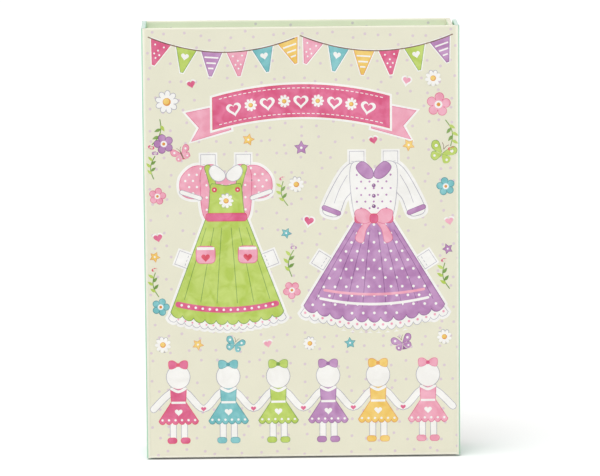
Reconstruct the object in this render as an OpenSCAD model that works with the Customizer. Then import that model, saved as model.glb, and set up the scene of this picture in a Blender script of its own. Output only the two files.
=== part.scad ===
// Storage box for a paper doll set: a board case with a hinged cover and a magnetic side flap,
// a fitted tray, and the card dolls, stands, clothes and press-out sheets that lie in it.
// X runs across the cover, Y from the cover to the back, Z up. The box stands on its lower edges.

/* [Case] */
// Width across the cover
box_w = 180; // [170:1:210]
// Height of the case
box_h = 248; // [240:1:290]
// Depth from the cover to the back
box_d = 38; // [36:1:55]
// Thickness of the board in every panel
board_t = 2; // [1.6:0.1:2.6]
// Thickness of the printed wrap and of the liner
paper_t = 0.25; // [0.15:0.05:0.35]
// Rounding of the wrapped edges
edge_r = 0.7; // [0.5:0.05:0.9]
// Width of the wrap that is turned in over the inner face
turn_in = 5; // [3:0.5:9]
// Clearance between a panel and the fold that it turns on
fold_gap = 0.05; // [0.03:0.01:0.1]

/* [Closure] */
// Length of the flap, from its fold to its free edge
flap_len = 28; // [22:1:30]
// Clearance between the flap and the closure wall
flap_gap = 0.8; // [0.5:0.1:1.4]
// Diameter of a magnet
magnet_d = 12; // [8:1:14]
// Thickness of a magnet
magnet_t = 1.2; // [0.8:0.1:1.4]
// Clearance round a magnet in its pocket
magnet_gap = 0.1; // [0.05:0.05:0.2]
// Distance of the magnets from the fold of the flap
magnet_inset = 14; // [11:1:17]
// Distance of the magnets from the ends of the case
magnet_end = 62; // [30:1:90]

/* [Tray] */
// Thickness of the tray card
tray_t = 1.5; // [1:0.1:2.2]
// How far the tray ends lie inside the ends of the case
tray_recess = 4; // [3:0.5:7]
// Clearance between the tray rim and the closed cover
rim_gap = 0.4; // [0.3:0.1:1]
// Rounding of the folds of the tray and the platform
card_fold_r = 1; // [0.5:0.1:1.4]
// Depth from the tray rim to the platform
content_room = 10; // [9:0.5:13]
// Thickness of the platform card
platform_t = 1; // [0.8:0.1:1.5]
// Clearance between the platform and the tray walls
platform_gap = 0.3; // [0.2:0.1:0.6]
// Radius of the finger notch in the platform
notch_r = 9; // [7:0.5:11]
// How far the finger notch runs back into the platform's leg
notch_depth = 6; // [3:0.5:9]
// Thickness of a divider
divider_t = 1.5; // [1:0.1:2]
// Height of a divider above the platform
divider_h = 7; // [5:0.5:8]
// Height of the lower compartments
lower_room = 43; // [40:0.5:48]
// Width of the right-hand compartments
side_room = 56; // [54:0.5:60]
// Space left round a loose piece in its compartment
lay_gap = 1; // [0.5:0.1:1.5]
// Air between loose cards that lie on each other
air_gap = 0.1; // [0.05:0.05:0.2]

/* [Dolls] */
// Space between two dolls at their widest
doll_gap = 1.6; // [1:0.1:6]
// Thickness of the doll card
doll_t = 1.5; // [1:0.1:2]
// Depth of a slot, in a foot strip or in a stand
slot_depth = 7; // [5:0.5:8]
// Clearance of a card in a slot
slot_gap = 0.2; // [0.1:0.05:0.4]
// Space at each end of a stand
stand_margin = 6; // [3:0.5:9]
// Space between the two rows of stands
stand_gap = 4.5; // [3:0.5:6]

/* [Clothes] */
// Thickness of a press-out sheet
sheet_t = 0.6; // [0.4:0.1:0.9]
// Width of the cut round a pressed-out piece
kerf = 0.4; // [0.3:0.05:0.6]
// Width of the nicks that hold a piece in its sheet
nick_w = 0.8; // [0.5:0.1:1.2]
// Corner rounding of a sheet
sheet_r = 3; // [1:0.5:6]
// Number of spare sheets under each upper sheet
spare_count = 3; // [1:1:4]
// Space on the sheet beside a garment
garment_margin = 4; // [3:0.5:7]
// Space on the sheet between two garments
garment_gap = 9.5; // [6:0.5:14]
// Width of a fold-over tab
tab_w = 6; // [4:0.5:7]
// Height of a fold-over tab
tab_h = 5; // [4:0.5:6]
// Space on the sheet between two trimmings
trim_gap = 5; // [4:0.5:9]
// Space on the sheet above and below a trimming
trim_margin = 7; // [5:0.5:9]
// Number of scallops along the hem of the dress
scallops = 7; // [5:1:9]

/* [Hidden] */
$fn = 64;
// Overrun of every cut past the face that it leaves
overrun = 1;
// Whole thickness of a wrapped panel
panel_t = board_t + 2 * paper_t;
// Distance between a panel's end and the axis of its fold
fold_reach = panel_t / 2 + fold_gap;
// Fold axes: distance of the outer ones from the middle, and the one of the closure wall
fold_x = box_w / 2 - panel_t / 2;
fold_y = box_d / 2 - panel_t / 2;
closure_out_x = box_w / 2 - panel_t - flap_gap;
closure_fold_x = closure_out_x - panel_t / 2;
// Clear lengths of the panels between their folds
cover_len = 2 * (fold_x - fold_reach);
spine_len = 2 * (fold_y - fold_reach);
back_len = closure_fold_x + fold_x - 2 * fold_reach;
closure_len = fold_y - fold_reach + box_d / 2 - panel_t - rim_gap;
// Outside of the tray: its sides, its rim and its floor
tray_left = -box_w / 2 + panel_t;
tray_right = closure_out_x - panel_t;
tray_rim = -box_d / 2 + panel_t + rim_gap;
tray_floor = box_d / 2 - panel_t;
// Inside of the tray
room_left = tray_left + tray_t;
room_right = tray_right - tray_t;
room_low = tray_recess + tray_t;
room_high = box_h - tray_recess - tray_t;
room_floor = tray_floor - tray_t;
// Front face of the platform, which carries what lies in the tray
deck_y = tray_rim + content_room;
// Compartments on the platform
side_left = room_right - side_room;
upper_low = room_low + lower_room + divider_t;
dolls_mid = (room_left + side_left - divider_t) / 2;
dolls_pitch = (side_left - divider_t - room_left) / 2;
// Press-out sheets
outfit_sheet_w = side_room - 2 * lay_gap;
outfit_sheet_h = room_high - upper_low - 2 * lay_gap;
trim_sheet_w = side_left - divider_t - room_left - 2 * lay_gap;
trim_sheet_h = lower_room - 2 * lay_gap;
sheet_y = layer_y(spare_count + 1, sheet_t);
garment_pitch = outfit_sheet_h / 3;
garment_w = outfit_sheet_w - 2 * garment_margin;
garment_h = garment_pitch - garment_gap;
trim_pitch = trim_sheet_w / 4;
trim_w = trim_pitch - trim_gap;
trim_h = trim_sheet_h - 2 * trim_margin;
// Height of a doll: as tall as its compartment lets it be, in width and in height
doll_span_share = 0.322;
doll_h = min((dolls_pitch - doll_gap) / doll_span_share, outfit_sheet_h);
// Stands and the slots that they share with the dolls
stand_w = side_room - 2 * stand_margin;
stand_h = lower_room / 2 - stand_gap;
slot_w = doll_t + slot_gap;

// Foot strip of a doll, as shares of its height: width, height, distance between its slots
foot_shares = [0.275, 0.09];
slot_pitch_share = 0.165;

// Places on a doll, as shares of its height: distance from the middle, height above its foot
ankle_share = [0.05, 0.085];
hip_share = [0.043, 0.42];
shoulder_share = [0.076, 0.672];
hand_share = [0.13, 0.44];
head_share = [0, 0.845];
// Radii on a doll, as shares of its height
ankle_r_share = 0.021;
hip_r_share = 0.037;
shoulder_r_share = 0.024;
hand_r_share = 0.018;
head_r_share = 0.104;
// Right half of the slip, as shares of the doll's height
slip_shares = [[0, 0.37], [0.098, 0.37], [0.06, 0.54], [0.088, 0.694], [0.03, 0.706], [0, 0.706]];
// Neck, as shares of the doll's height: half width, height
neck_share = [0.024, 0.76];
// Hair: radius of the cap, and how far it sits above the middle of the head
bob_cap_share = 0.121;
plait_cap_share = 0.115;
cap_lift_share = 0.012;
// Locks of the bob: upper and lower place, and their radii
lock_shares = [[0.093, 0.85], [0.1, 0.765]];
lock_r_shares = [0.032, 0.024];
// Plait: first knot, step to the next knot, first radius and its loss at each knot
plait_start_share = [0.122, 0.8];
plait_step_share = [0.006, -0.041];
plait_r_share = 0.031;
plait_loss_share = 0.0035;
plait_knots = 4;

// Right halves of the garments, as shares of a garment's width and height
dress_shares = [[0, 0.12], [0.44, 0.12], [0.2, 0.56], [0.24, 0.9], [0, 0.9]];
dress_sleeve_share = [0.29, 0.82];
dress_sleeve_r_share = 0.11;
dress_neck_r_share = 0.13;
coat_shares = [[0, 0.03], [0.36, 0.03], [0.22, 0.5], [0.25, 0.88], [0, 0.88]];
coat_sleeve_shares = [[0.23, 0.8], [0.41, 0.42]];
coat_sleeve_r_shares = [0.08, 0.065];
coat_collar_share = [0.09, 0.88];
coat_collar_r_share = 0.095;
bib_shares = [[0, 0.5], [0.27, 0.46], [0.25, 0.6], [0.16, 0.66], [0.16, 0.88], [0, 0.88]];
leg_shares = [[0.06, 0.03], [0.31, 0.03], [0.27, 0.52], [0.025, 0.5]];
strap_shares = [[0.09, 0.86], [0.15, 0.86], [0.17, 0.97], [0.11, 0.97]];
// Places of the tabs beside and above a garment
dress_tab_shares = [[0.18, 0.88], [0.23, 0.53]];
coat_tab_shares = [[0.2, 0.87], [0.33, 0.2]];
bib_tab_shares = [[0.14, 0.9], [0.28, 0.56]];

// Right halves of the trimmings, as shares of a trimming's width and height
crown_share = [0.35, 0.5];
brim_shares = [[0, 0.34], [0.42, 0.3]];
brim_r_share = 0.085;
bag_share = [0.86, 0.5];
bag_r_share = 0.12;
handle_share = [0, 0.52];
handle_r_shares = [0.32, 0.2];
boot_shares = [[0.06, 0.1], [0.42, 0.1], [0.42, 0.24], [0.27, 0.34], [0.27, 0.9], [0.06, 0.9]];
toe_share = [0.37, 0.17];
bow_shares = [[0, 0.44], [0.3, 0.33], [0.3, 0.67], [0, 0.56]];
bow_end_share = [0.3, 0.5];
bow_tail_shares = [[0, 0.46], [0.14, 0.14], [0.34, 0.08], [0.14, 0.46]];
bow_knot_r_share = 0.11;

// Colours
board_grey = "#b9b2a4";
cream = "#f4ecd9";
mint = "#a9d3bd";
white_card = "#f4f1ea";

// Rectangle with round corners, from the origin
module rounded_rectangle(w, h, r) {
    translate([r, 0]) square([w - 2 * r, h]);
    translate([0, r]) square([w, h - 2 * r]);
    for (x = [r, w - r], y = [r, h - r])
        translate([x, y]) circle(r);
}

// Outline and its mirror image about the middle line
module both_sides() {
    children();
    mirror([1, 0]) children();
}

// Bar between two places with round ends of two radii and tangent sides
module tapered_bar(a, b, ra, rb) {
    run = norm(b - a);
    along = (b - a) / run;
    across = [-along[1], along[0]];
    lean = (ra - rb) / run;
    rise = sqrt(1 - lean * lean);
    translate(a) circle(ra);
    translate(b) circle(rb);
    polygon([
        a + ra * (lean * along - rise * across),
        b + rb * (lean * along - rise * across),
        b + rb * (lean * along + rise * across),
        a + ra * (lean * along + rise * across)
    ]);
}

// Points given as shares of a width and a height
function sized(shares, w, h) = [for (p = shares) [p[0] * w, p[1] * h]];

// Front of card number i of a loose pile on the platform, of cards of thickness t
function layer_y(i, t) = deck_y - i * t - (i - 1) * air_gap;

// Flat card of thickness t standing with its front at y, from an outline in X and Z
module card(y, t) {
    translate([0, y + t, 0]) rotate([90, 0, 0]) linear_extrude(t) children();
}

// Block of a wrapped panel: outer face at y 0, its fold at x 0, drawn in by inset on wrapped sides
module panel_block(len, inset, free_edge, run) {
    r = edge_r - inset;
    far_end = free_edge ? len - inset : len + run;
    intersection() {
        translate([-run, 0, 0])
            rotate([90, 0, 90])
                linear_extrude(far_end + run)
                    translate([inset, inset])
                        rounded_rectangle(panel_t - 2 * inset, box_h - 2 * inset, r);
        if (free_edge)
            linear_extrude(box_h)
                translate([-overrun - 2 * edge_r, inset])
                    rounded_rectangle(far_end + overrun + 2 * edge_r, panel_t - 2 * inset, r);
    }
}

// Length of the liner: it stops short of the wrap that is turned in at a free edge
function liner_len(len, free_edge) = free_edge ? len - turn_in : len;

// Board core of a panel
module panel_board(len, free_edge = false) {
    color(board_grey) panel_block(len, paper_t, free_edge, 0);
}

// Printed wrap over the outer face and the edges, turned in over the inner face
module panel_wrap(len, paper, free_edge = false) {
    run = free_edge ? 0 : overrun;
    color(paper)
        difference() {
            panel_block(len, 0, free_edge, 0);
            panel_block(len, paper_t, free_edge, overrun);
            translate([-overrun, panel_t - paper_t, turn_in])
                cube([liner_len(len, free_edge) + overrun + run, paper_t + overrun, box_h - 2 * turn_in]);
        }
}

// Liner between the turned-in margins of the wrap
module panel_liner(len, paper, free_edge = false) {
    color(paper)
        translate([0, panel_t - paper_t, turn_in])
            cube([liner_len(len, free_edge), paper_t, box_h - 2 * turn_in]);
}

// Places of the panels in the case
module at_cover() {
    translate([-cover_len / 2, -box_d / 2, 0]) children();
}

module at_spine() {
    translate([-box_w / 2, spine_len / 2, 0]) rotate([0, 0, -90]) children();
}

module at_back() {
    translate([closure_fold_x - fold_reach, box_d / 2, 0]) rotate([0, 0, 180]) children();
}

module at_closure() {
    translate([closure_out_x, fold_y - fold_reach, 0]) mirror([0, 1, 0]) rotate([0, 0, 90]) children();
}

module at_flap() {
    translate([box_w / 2, -fold_y + fold_reach, 0]) rotate([0, 0, 90]) children();
}

// Folded paper along a corner of the case, round about the axis that it turns on
module crease(x, y, paper) {
    color(paper)
        translate([x, y, 0])
            difference() {
                cylinder(r = panel_t / 2, h = box_h);
                translate([0, 0, -overrun])
                    cylinder(r = panel_t / 2 - 2 * paper_t, h = box_h + 2 * overrun);
            }
}

// Magnets or their pockets, standing in from a face of the side panels towards -X
module magnet_pair(face_x, d, t) {
    for (z = [magnet_end, box_h - magnet_end])
        translate([face_x, -fold_y + fold_reach + magnet_inset, z])
            rotate([0, -90, 0]) cylinder(d = d, h = t);
}

// Inner face of the flap board and outer face of the closure board, where the pockets open
flap_pocket_x = box_w / 2 - panel_t + paper_t;
closure_pocket_x = closure_out_x - paper_t;
pocket_t = magnet_t + magnet_gap;

module back_board() { at_back() panel_board(back_len); }
module back_wrap() { at_back() panel_wrap(back_len, cream); }
module back_liner() { at_back() panel_liner(back_len, cream); }

module spine_board() { at_spine() panel_board(spine_len); }
module spine_wrap() { at_spine() panel_wrap(spine_len, mint); }
module spine_liner() { at_spine() panel_liner(spine_len, mint); }

module closure_board() {
    color(board_grey)
        difference() {
            at_closure() panel_board(closure_len, true);
            translate([overrun, 0, 0])
                magnet_pair(closure_pocket_x, magnet_d + 2 * magnet_gap, pocket_t + overrun);
        }
}

module closure_wrap() { at_closure() panel_wrap(closure_len, cream, true); }
module closure_liner() { at_closure() panel_liner(closure_len, cream, true); }
module closure_magnets() { color("silver") magnet_pair(closure_pocket_x, magnet_d, magnet_t); }

module cover_board() { at_cover() panel_board(cover_len); }
module cover_wrap() { at_cover() panel_wrap(cover_len, cream); }
module cover_liner() { at_cover() panel_liner(cover_len, mint); }

module flap_board() {
    color(board_grey)
        difference() {
            at_flap() panel_board(flap_len, true);
            magnet_pair(flap_pocket_x + pocket_t, magnet_d + 2 * magnet_gap, pocket_t + overrun);
        }
}

module flap_wrap() { at_flap() panel_wrap(flap_len, mint, true); }
module flap_liner() { at_flap() panel_liner(flap_len, mint, true); }
module flap_magnets() { color("silver") magnet_pair(flap_pocket_x + magnet_t, magnet_d, magnet_t); }

module cover_crease() { crease(-fold_x, -fold_y, mint); }
module spine_crease() { crease(-fold_x, fold_y, mint); }
module closure_crease() { crease(closure_fold_x, fold_y, cream); }
module flap_crease() { crease(fold_x, -fold_y, mint); }

// Open folded-card box: its floor is at the back, its rim at the front
module folded_box(left, right, low, high, rim, floor_y, t, fold_r) {
    w = right - left;
    d = floor_y - rim;
    translate([left, rim, low])
        difference() {
            linear_extrude(high - low)
                difference() {
                    translate([0, -2 * fold_r]) rounded_rectangle(w, d + 2 * fold_r, fold_r);
                    translate([-overrun, -2 * fold_r - overrun]) square([w + 2 * overrun, 2 * fold_r + overrun]);
                }
            translate([t, -overrun, t])
                cube([w - 2 * t, d - t + overrun, high - low - 2 * t]);
        }
}

module tray() {
    color(mint)
        folded_box(tray_left, tray_right, tray_recess, box_h - tray_recess,
                   tray_rim, tray_floor, tray_t, card_fold_r);
}

// False floor that lifts the contents to the front: the same folded box, turned face down
module platform() {
    left = room_left + platform_gap;
    right = room_right - platform_gap;
    low = room_low + platform_gap;
    high = room_high - platform_gap;
    color(white_card)
        difference() {
            mirror([0, 1, 0])
                folded_box(left, right, low, high, -room_floor, -deck_y, platform_t, card_fold_r);
            translate([dolls_mid, deck_y + notch_depth, high])
                rotate([90, 0, 0]) cylinder(r = notch_r, h = notch_depth + overrun);
        }
}

// Divider standing on the platform, with a round upper edge, of the given length along X
module divider_strip(len) {
    translate([0, deck_y, 0])
        rotate([90, 0, 90])
            linear_extrude(len) {
                translate([divider_t / 2 - divider_h, 0]) square([divider_h - divider_t / 2, divider_t]);
                translate([divider_t / 2 - divider_h, divider_t / 2]) circle(d = divider_t);
            }
}

// Divider that runs upwards from z along the side compartments
module upright_divider(z, len) {
    translate([side_left, 0, z]) rotate([0, -90, 0]) divider_strip(len);
}

module cross_divider() {
    color(mint)
        translate([room_left, 0, room_low + lower_room]) divider_strip(room_right - room_left);
}

module upper_divider() { color(mint) upright_divider(upper_low, room_high - upper_low); }
module lower_divider() { color(mint) upright_divider(room_low, lower_room); }

// Slots for the stands, cut up from the lower edge
module foot_slots() {
    both_sides()
        translate([(slot_pitch_share * doll_h - slot_w) / 2, -overrun])
            square([slot_w, slot_depth + overrun]);
}

// Figure of a doll in a slip, standing on its foot strip, without hair
module doll_figure() {
    foot = foot_shares * doll_h;
    translate([-foot[0] / 2, 0]) rounded_rectangle(foot[0], foot[1], foot[1] / 4);
    translate([-neck_share[0] * doll_h, hip_share[1] * doll_h])
        square([2 * neck_share[0] * doll_h, (neck_share[1] - hip_share[1]) * doll_h]);
    translate(head_share * doll_h) circle(head_r_share * doll_h);
    both_sides() {
        tapered_bar(hip_share * doll_h, ankle_share * doll_h, hip_r_share * doll_h, ankle_r_share * doll_h);
        tapered_bar(shoulder_share * doll_h, hand_share * doll_h,
                    shoulder_r_share * doll_h, hand_r_share * doll_h);
        polygon(slip_shares * doll_h);
    }
}

module bob_hair() {
    translate((head_share + [0, cap_lift_share]) * doll_h) circle(bob_cap_share * doll_h);
    both_sides()
        tapered_bar(lock_shares[0] * doll_h, lock_shares[1] * doll_h,
                    lock_r_shares[0] * doll_h, lock_r_shares[1] * doll_h);
}

module plait_hair() {
    translate((head_share + [0, cap_lift_share]) * doll_h) circle(plait_cap_share * doll_h);
    both_sides()
        for (i = [0 : plait_knots - 1])
            translate((plait_start_share + i * plait_step_share) * doll_h)
                circle((plait_r_share - i * plait_loss_share) * doll_h);
}

// Doll on the platform, in place number i of the wide compartment, with the given hair
module doll(i) {
    translate([dolls_mid + (i - 1 / 2) * dolls_pitch, 0, upper_low + lay_gap])
        card(layer_y(1, doll_t), doll_t)
            difference() {
                union() {
                    doll_figure();
                    children();
                }
                foot_slots();
            }
}

module doll_bob() { color("#e9c3a2") doll(0) bob_hair(); }
module doll_plaits() { color("#c98f68") doll(1) plait_hair(); }

// Stand: low round-topped card with a slot in its upper edge
module stand_outline() {
    sag = stand_w / 2;
    arch_r = (sag * sag + stand_h * stand_h) / (2 * stand_h);
    difference() {
        intersection() {
            translate([0, stand_h - arch_r]) circle(arch_r);
            translate([-sag, 0]) square([stand_w, stand_h]);
        }
        translate([-slot_w / 2, stand_h - slot_depth]) square([slot_w, slot_depth + overrun]);
    }
}

// Pair of stands lying on each other in row number i of the lower side compartment
module stand_pair(i) {
    for (layer = [1, 2])
        translate([side_left + side_room / 2, 0, room_low + lay_gap + i * lower_room / 2])
            card(layer_y(layer, doll_t), doll_t) stand_outline();
}

module stands_bob() { color("#e9c3a2") stand_pair(0); }
module stands_plaits() { color("#c98f68") stand_pair(1); }

// Fold-over tabs of a garment, at places given as shares
module tabs(shares) {
    both_sides()
        for (p = sized(shares, garment_w, garment_h))
            translate(p - [tab_w / 2, 0]) square([tab_w, tab_h]);
}

// Garments, with their middle line at x 0 and their lowest edge near z 0
module dress_outline() {
    hem = 2 * dress_shares[1][0] * garment_w;
    hem_z = dress_shares[1][1] * garment_h;
    difference() {
        union() {
            both_sides() {
                polygon(sized(dress_shares, garment_w, garment_h));
                translate(sized([dress_sleeve_share], garment_w, garment_h)[0])
                    circle(dress_sleeve_r_share * garment_w);
            }
            for (i = [0 : scallops - 1])
                translate([(i + 1 / 2) * hem / scallops - hem / 2, hem_z]) circle(hem / scallops / 2);
            tabs(dress_tab_shares);
        }
        translate([0, dress_shares[3][1] * garment_h]) circle(dress_neck_r_share * garment_w);
    }
}

module coat_outline() {
    arm = sized(coat_sleeve_shares, garment_w, garment_h);
    both_sides() {
        polygon(sized(coat_shares, garment_w, garment_h));
        tapered_bar(arm[0], arm[1], coat_sleeve_r_shares[0] * garment_w, coat_sleeve_r_shares[1] * garment_w);
        translate(sized([coat_collar_share], garment_w, garment_h)[0])
            circle(coat_collar_r_share * garment_w);
    }
    tabs(coat_tab_shares);
}

module dungarees_outline() {
    both_sides() {
        polygon(sized(bib_shares, garment_w, garment_h));
        polygon(sized(leg_shares, garment_w, garment_h));
        polygon(sized(strap_shares, garment_w, garment_h));
    }
    tabs(bib_tab_shares);
}

// Trimmings, with their middle line at x 0 and their lowest edge near z 0
module hat_outline() {
    brim = sized(brim_shares, trim_w, trim_h);
    translate([0, crown_share[1] * trim_h]) circle(crown_share[0] * trim_w);
    both_sides()
        tapered_bar(brim[0], brim[1], brim_r_share * trim_h, brim_r_share * trim_h);
}

module bag_outline() {
    translate([-bag_share[0] * trim_w / 2, 0])
        rounded_rectangle(bag_share[0] * trim_w, bag_share[1] * trim_h, bag_r_share * trim_w);
    translate(handle_share * trim_h) circle(handle_r_shares[0] * trim_w);
}

// Hole under the handle of the bag
module bag_hole() {
    difference() {
        translate(handle_share * trim_h) circle(handle_r_shares[1] * trim_w);
        translate([-trim_w / 2, 0]) square([trim_w, handle_share[1] * trim_h]);
    }
}

module boots_outline() {
    both_sides() {
        polygon(sized(boot_shares, trim_w, trim_h));
        translate(sized([toe_share], trim_w, trim_h)[0])
            circle((toe_share[1] - boot_shares[0][1]) * trim_h);
    }
}

module bow_outline() {
    end_r = (bow_shares[2][1] - bow_shares[1][1]) * trim_h / 2;
    both_sides() {
        polygon(sized(bow_shares, trim_w, trim_h));
        polygon(sized(bow_tail_shares, trim_w, trim_h));
        intersection() {
            translate(sized([bow_end_share], trim_w, trim_h)[0]) circle(end_r);
            translate(sized([bow_shares[1]], trim_w, trim_h)[0]) square(2 * end_r);
        }
    }
    translate([0, bow_end_share[1] * trim_h]) circle(bow_knot_r_share * trim_w);
}

// Places of the pieces in their sheets
module garment_place(i) {
    translate([side_left + side_room / 2,
               upper_low + lay_gap + (i + 1 / 2) * garment_pitch - garment_h / 2])
        children();
}

module trim_place(i) {
    translate([room_left + lay_gap + (i + 1 / 2) * trim_pitch,
               room_low + lay_gap + (trim_sheet_h - trim_h) / 2])
        children();
}

module garment_outlines() {
    garment_place(0) dungarees_outline();
    garment_place(1) coat_outline();
    garment_place(2) dress_outline();
}

module trim_outlines() {
    trim_place(0) hat_outline();
    trim_place(1) bag_outline();
    trim_place(2) boots_outline();
    trim_place(3) bow_outline();
}

// Cross of two narrow bars, whose ends become the nicks of one piece
module nick_cross(w, h) {
    translate([-w / 2 - 2 * kerf, (h - nick_w) / 2]) square([w + 4 * kerf, nick_w]);
    translate([-nick_w / 2, -2 * kerf]) square([nick_w, h + 4 * kerf]);
}

module outfit_sheet_outline() {
    translate([side_left + lay_gap, upper_low + lay_gap])
        rounded_rectangle(outfit_sheet_w, outfit_sheet_h, sheet_r);
}

module trim_sheet_outline() {
    translate([room_left + lay_gap, room_low + lay_gap])
        rounded_rectangle(trim_sheet_w, trim_sheet_h, sheet_r);
}

// Upper sheets: a cut runs round each piece, and nicks across the cut hold the piece
module outfit_sheet() {
    color(white_card)
        card(sheet_y, sheet_t)
            difference() {
                union() {
                    difference() {
                        outfit_sheet_outline();
                        offset(delta = kerf) garment_outlines();
                    }
                    for (i = [0 : 2])
                        garment_place(i) nick_cross(garment_w, garment_h);
                }
                garment_outlines();
            }
}

module trimmings_sheet() {
    color(white_card)
        card(sheet_y, sheet_t)
            difference() {
                union() {
                    difference() {
                        trim_sheet_outline();
                        offset(delta = kerf) trim_outlines();
                    }
                    for (i = [0 : 3])
                        trim_place(i) nick_cross(trim_w, trim_h);
                }
                trim_outlines();
            }
}

module dungarees() { color("#b9c95a") card(sheet_y, sheet_t) garment_place(0) dungarees_outline(); }
module coat() { color("#d9596f") card(sheet_y, sheet_t) garment_place(1) coat_outline(); }
module dress() { color("#b79ac6") card(sheet_y, sheet_t) garment_place(2) dress_outline(); }
module hat() { color("#e6c34f") card(sheet_y, sheet_t) trim_place(0) hat_outline(); }
module boots() { color("#d9596f") card(sheet_y, sheet_t) trim_place(2) boots_outline(); }
module bow() { color("#e78fb0") card(sheet_y, sheet_t) trim_place(3) bow_outline(); }

module bag() {
    color("#4fb3ab")
        card(sheet_y, sheet_t)
            trim_place(1)
                difference() {
                    bag_outline();
                    bag_hole();
                }
}

// Uncut stack under each upper sheet
module spare_outfit_sheets() {
    for (i = [1 : spare_count])
        color(white_card) card(layer_y(i, sheet_t), sheet_t) outfit_sheet_outline();
}

module spare_trimmings_sheets() {
    for (i = [1 : spare_count])
        color(white_card) card(layer_y(i, sheet_t), sheet_t) trim_sheet_outline();
}

back_board();
back_wrap();
back_liner();
spine_board();
spine_wrap();
spine_liner();
closure_board();
closure_wrap();
closure_liner();
closure_magnets();
cover_crease();
spine_crease();
closure_crease();
tray();
platform();
cross_divider();
upper_divider();
lower_divider();
doll_bob();
doll_plaits();
stands_bob();
stands_plaits();
outfit_sheet();
dress();
coat();
dungarees();
spare_outfit_sheets();
trimmings_sheet();
hat();
bag();
boots();
bow();
spare_trimmings_sheets();
cover_board();
cover_wrap();
cover_liner();
flap_crease();
flap_board();
flap_wrap();
flap_liner();
flap_magnets();
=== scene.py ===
import math

import bpy
from bpy.props import FloatProperty, FloatVectorProperty, IntProperty, PointerProperty
from bpy.types import Operator, Panel, PropertyGroup
from mathutils import Matrix, Vector


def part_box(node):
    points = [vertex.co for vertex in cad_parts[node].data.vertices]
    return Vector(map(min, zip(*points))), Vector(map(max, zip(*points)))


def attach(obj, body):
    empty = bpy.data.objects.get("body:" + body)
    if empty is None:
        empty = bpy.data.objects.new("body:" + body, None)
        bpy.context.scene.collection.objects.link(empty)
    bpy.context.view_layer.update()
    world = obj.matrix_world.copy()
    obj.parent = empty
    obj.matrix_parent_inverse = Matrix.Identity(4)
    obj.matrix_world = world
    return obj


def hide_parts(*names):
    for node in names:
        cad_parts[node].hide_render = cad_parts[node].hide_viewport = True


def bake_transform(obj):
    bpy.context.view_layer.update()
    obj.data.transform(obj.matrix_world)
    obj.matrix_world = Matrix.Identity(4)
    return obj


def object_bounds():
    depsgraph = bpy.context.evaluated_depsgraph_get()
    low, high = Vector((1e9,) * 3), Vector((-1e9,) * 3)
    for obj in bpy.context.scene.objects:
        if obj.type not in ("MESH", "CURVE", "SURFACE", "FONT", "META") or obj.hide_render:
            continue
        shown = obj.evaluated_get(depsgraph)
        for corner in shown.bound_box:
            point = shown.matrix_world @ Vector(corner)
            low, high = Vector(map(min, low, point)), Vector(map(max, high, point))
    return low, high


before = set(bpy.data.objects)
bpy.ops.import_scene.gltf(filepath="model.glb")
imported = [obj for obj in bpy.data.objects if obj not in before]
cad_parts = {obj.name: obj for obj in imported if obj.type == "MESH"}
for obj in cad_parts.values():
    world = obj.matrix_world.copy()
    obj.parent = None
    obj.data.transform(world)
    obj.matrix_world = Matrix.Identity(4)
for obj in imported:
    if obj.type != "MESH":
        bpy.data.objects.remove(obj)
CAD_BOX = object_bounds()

bl_info = {
    "name": "Paper Doll Box",
    "version": (1, 0, 0),
    "blender": (4, 5, 0),
    "location": "View3D > Sidebar > Paper Doll Box",
    "description": "Papers, folds, printed cover, dolls and clothes of a paper doll storage box",
    "category": "Object",
}

MM = 0.001
TAU = 2 * math.pi
TO_METRES = Matrix.Scale(MM, 4)
# Ink of the line round a shape, by the ink that fills it
LINE_INKS = {
    "white": "grey", "pink": "rose", "rose": "red", "red": "plum", "lime": "moss", "moss": "moss",
    "mauve": "plum", "teal": "sea", "sun": "amber",
}


def box_mm(node):
    """Lowest and highest corner of a CAD node, in millimetres."""
    low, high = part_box(node)
    return low / MM, high / MM


def middle_mm(node):
    """Middle of a CAD node, in millimetres."""
    low, high = box_mm(node)
    return (low + high) / 2


COVER_LOW, COVER_HIGH = box_mm("cover_wrap")
CASE_H = COVER_HIGH.z
PANEL_T = COVER_HIGH.y - COVER_LOW.y


# Settings

def ink_colour(label, use, red, green, blue):
    """Colour property of one printing ink, given in 0 to 255 steps as on a screen."""
    return FloatVectorProperty(
        name=label, description=use, subtype="COLOR_GAMMA", size=3, min=0.0, max=1.0,
        default=(red / 255, green / 255, blue / 255),
    )


def length(label, use, metres):
    """Length property in metres."""
    return FloatProperty(name=label, description=use, unit="LENGTH", default=metres, min=0.0, precision=5)


def angle(label, use, degrees):
    """Angle property, given in degrees."""
    return FloatProperty(name=label, description=use, subtype="ANGLE", default=math.radians(degrees))


def strength(label, use, value):
    """Strength property of a light."""
    return FloatProperty(name=label, description=use, default=value, min=0.0)


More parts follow.
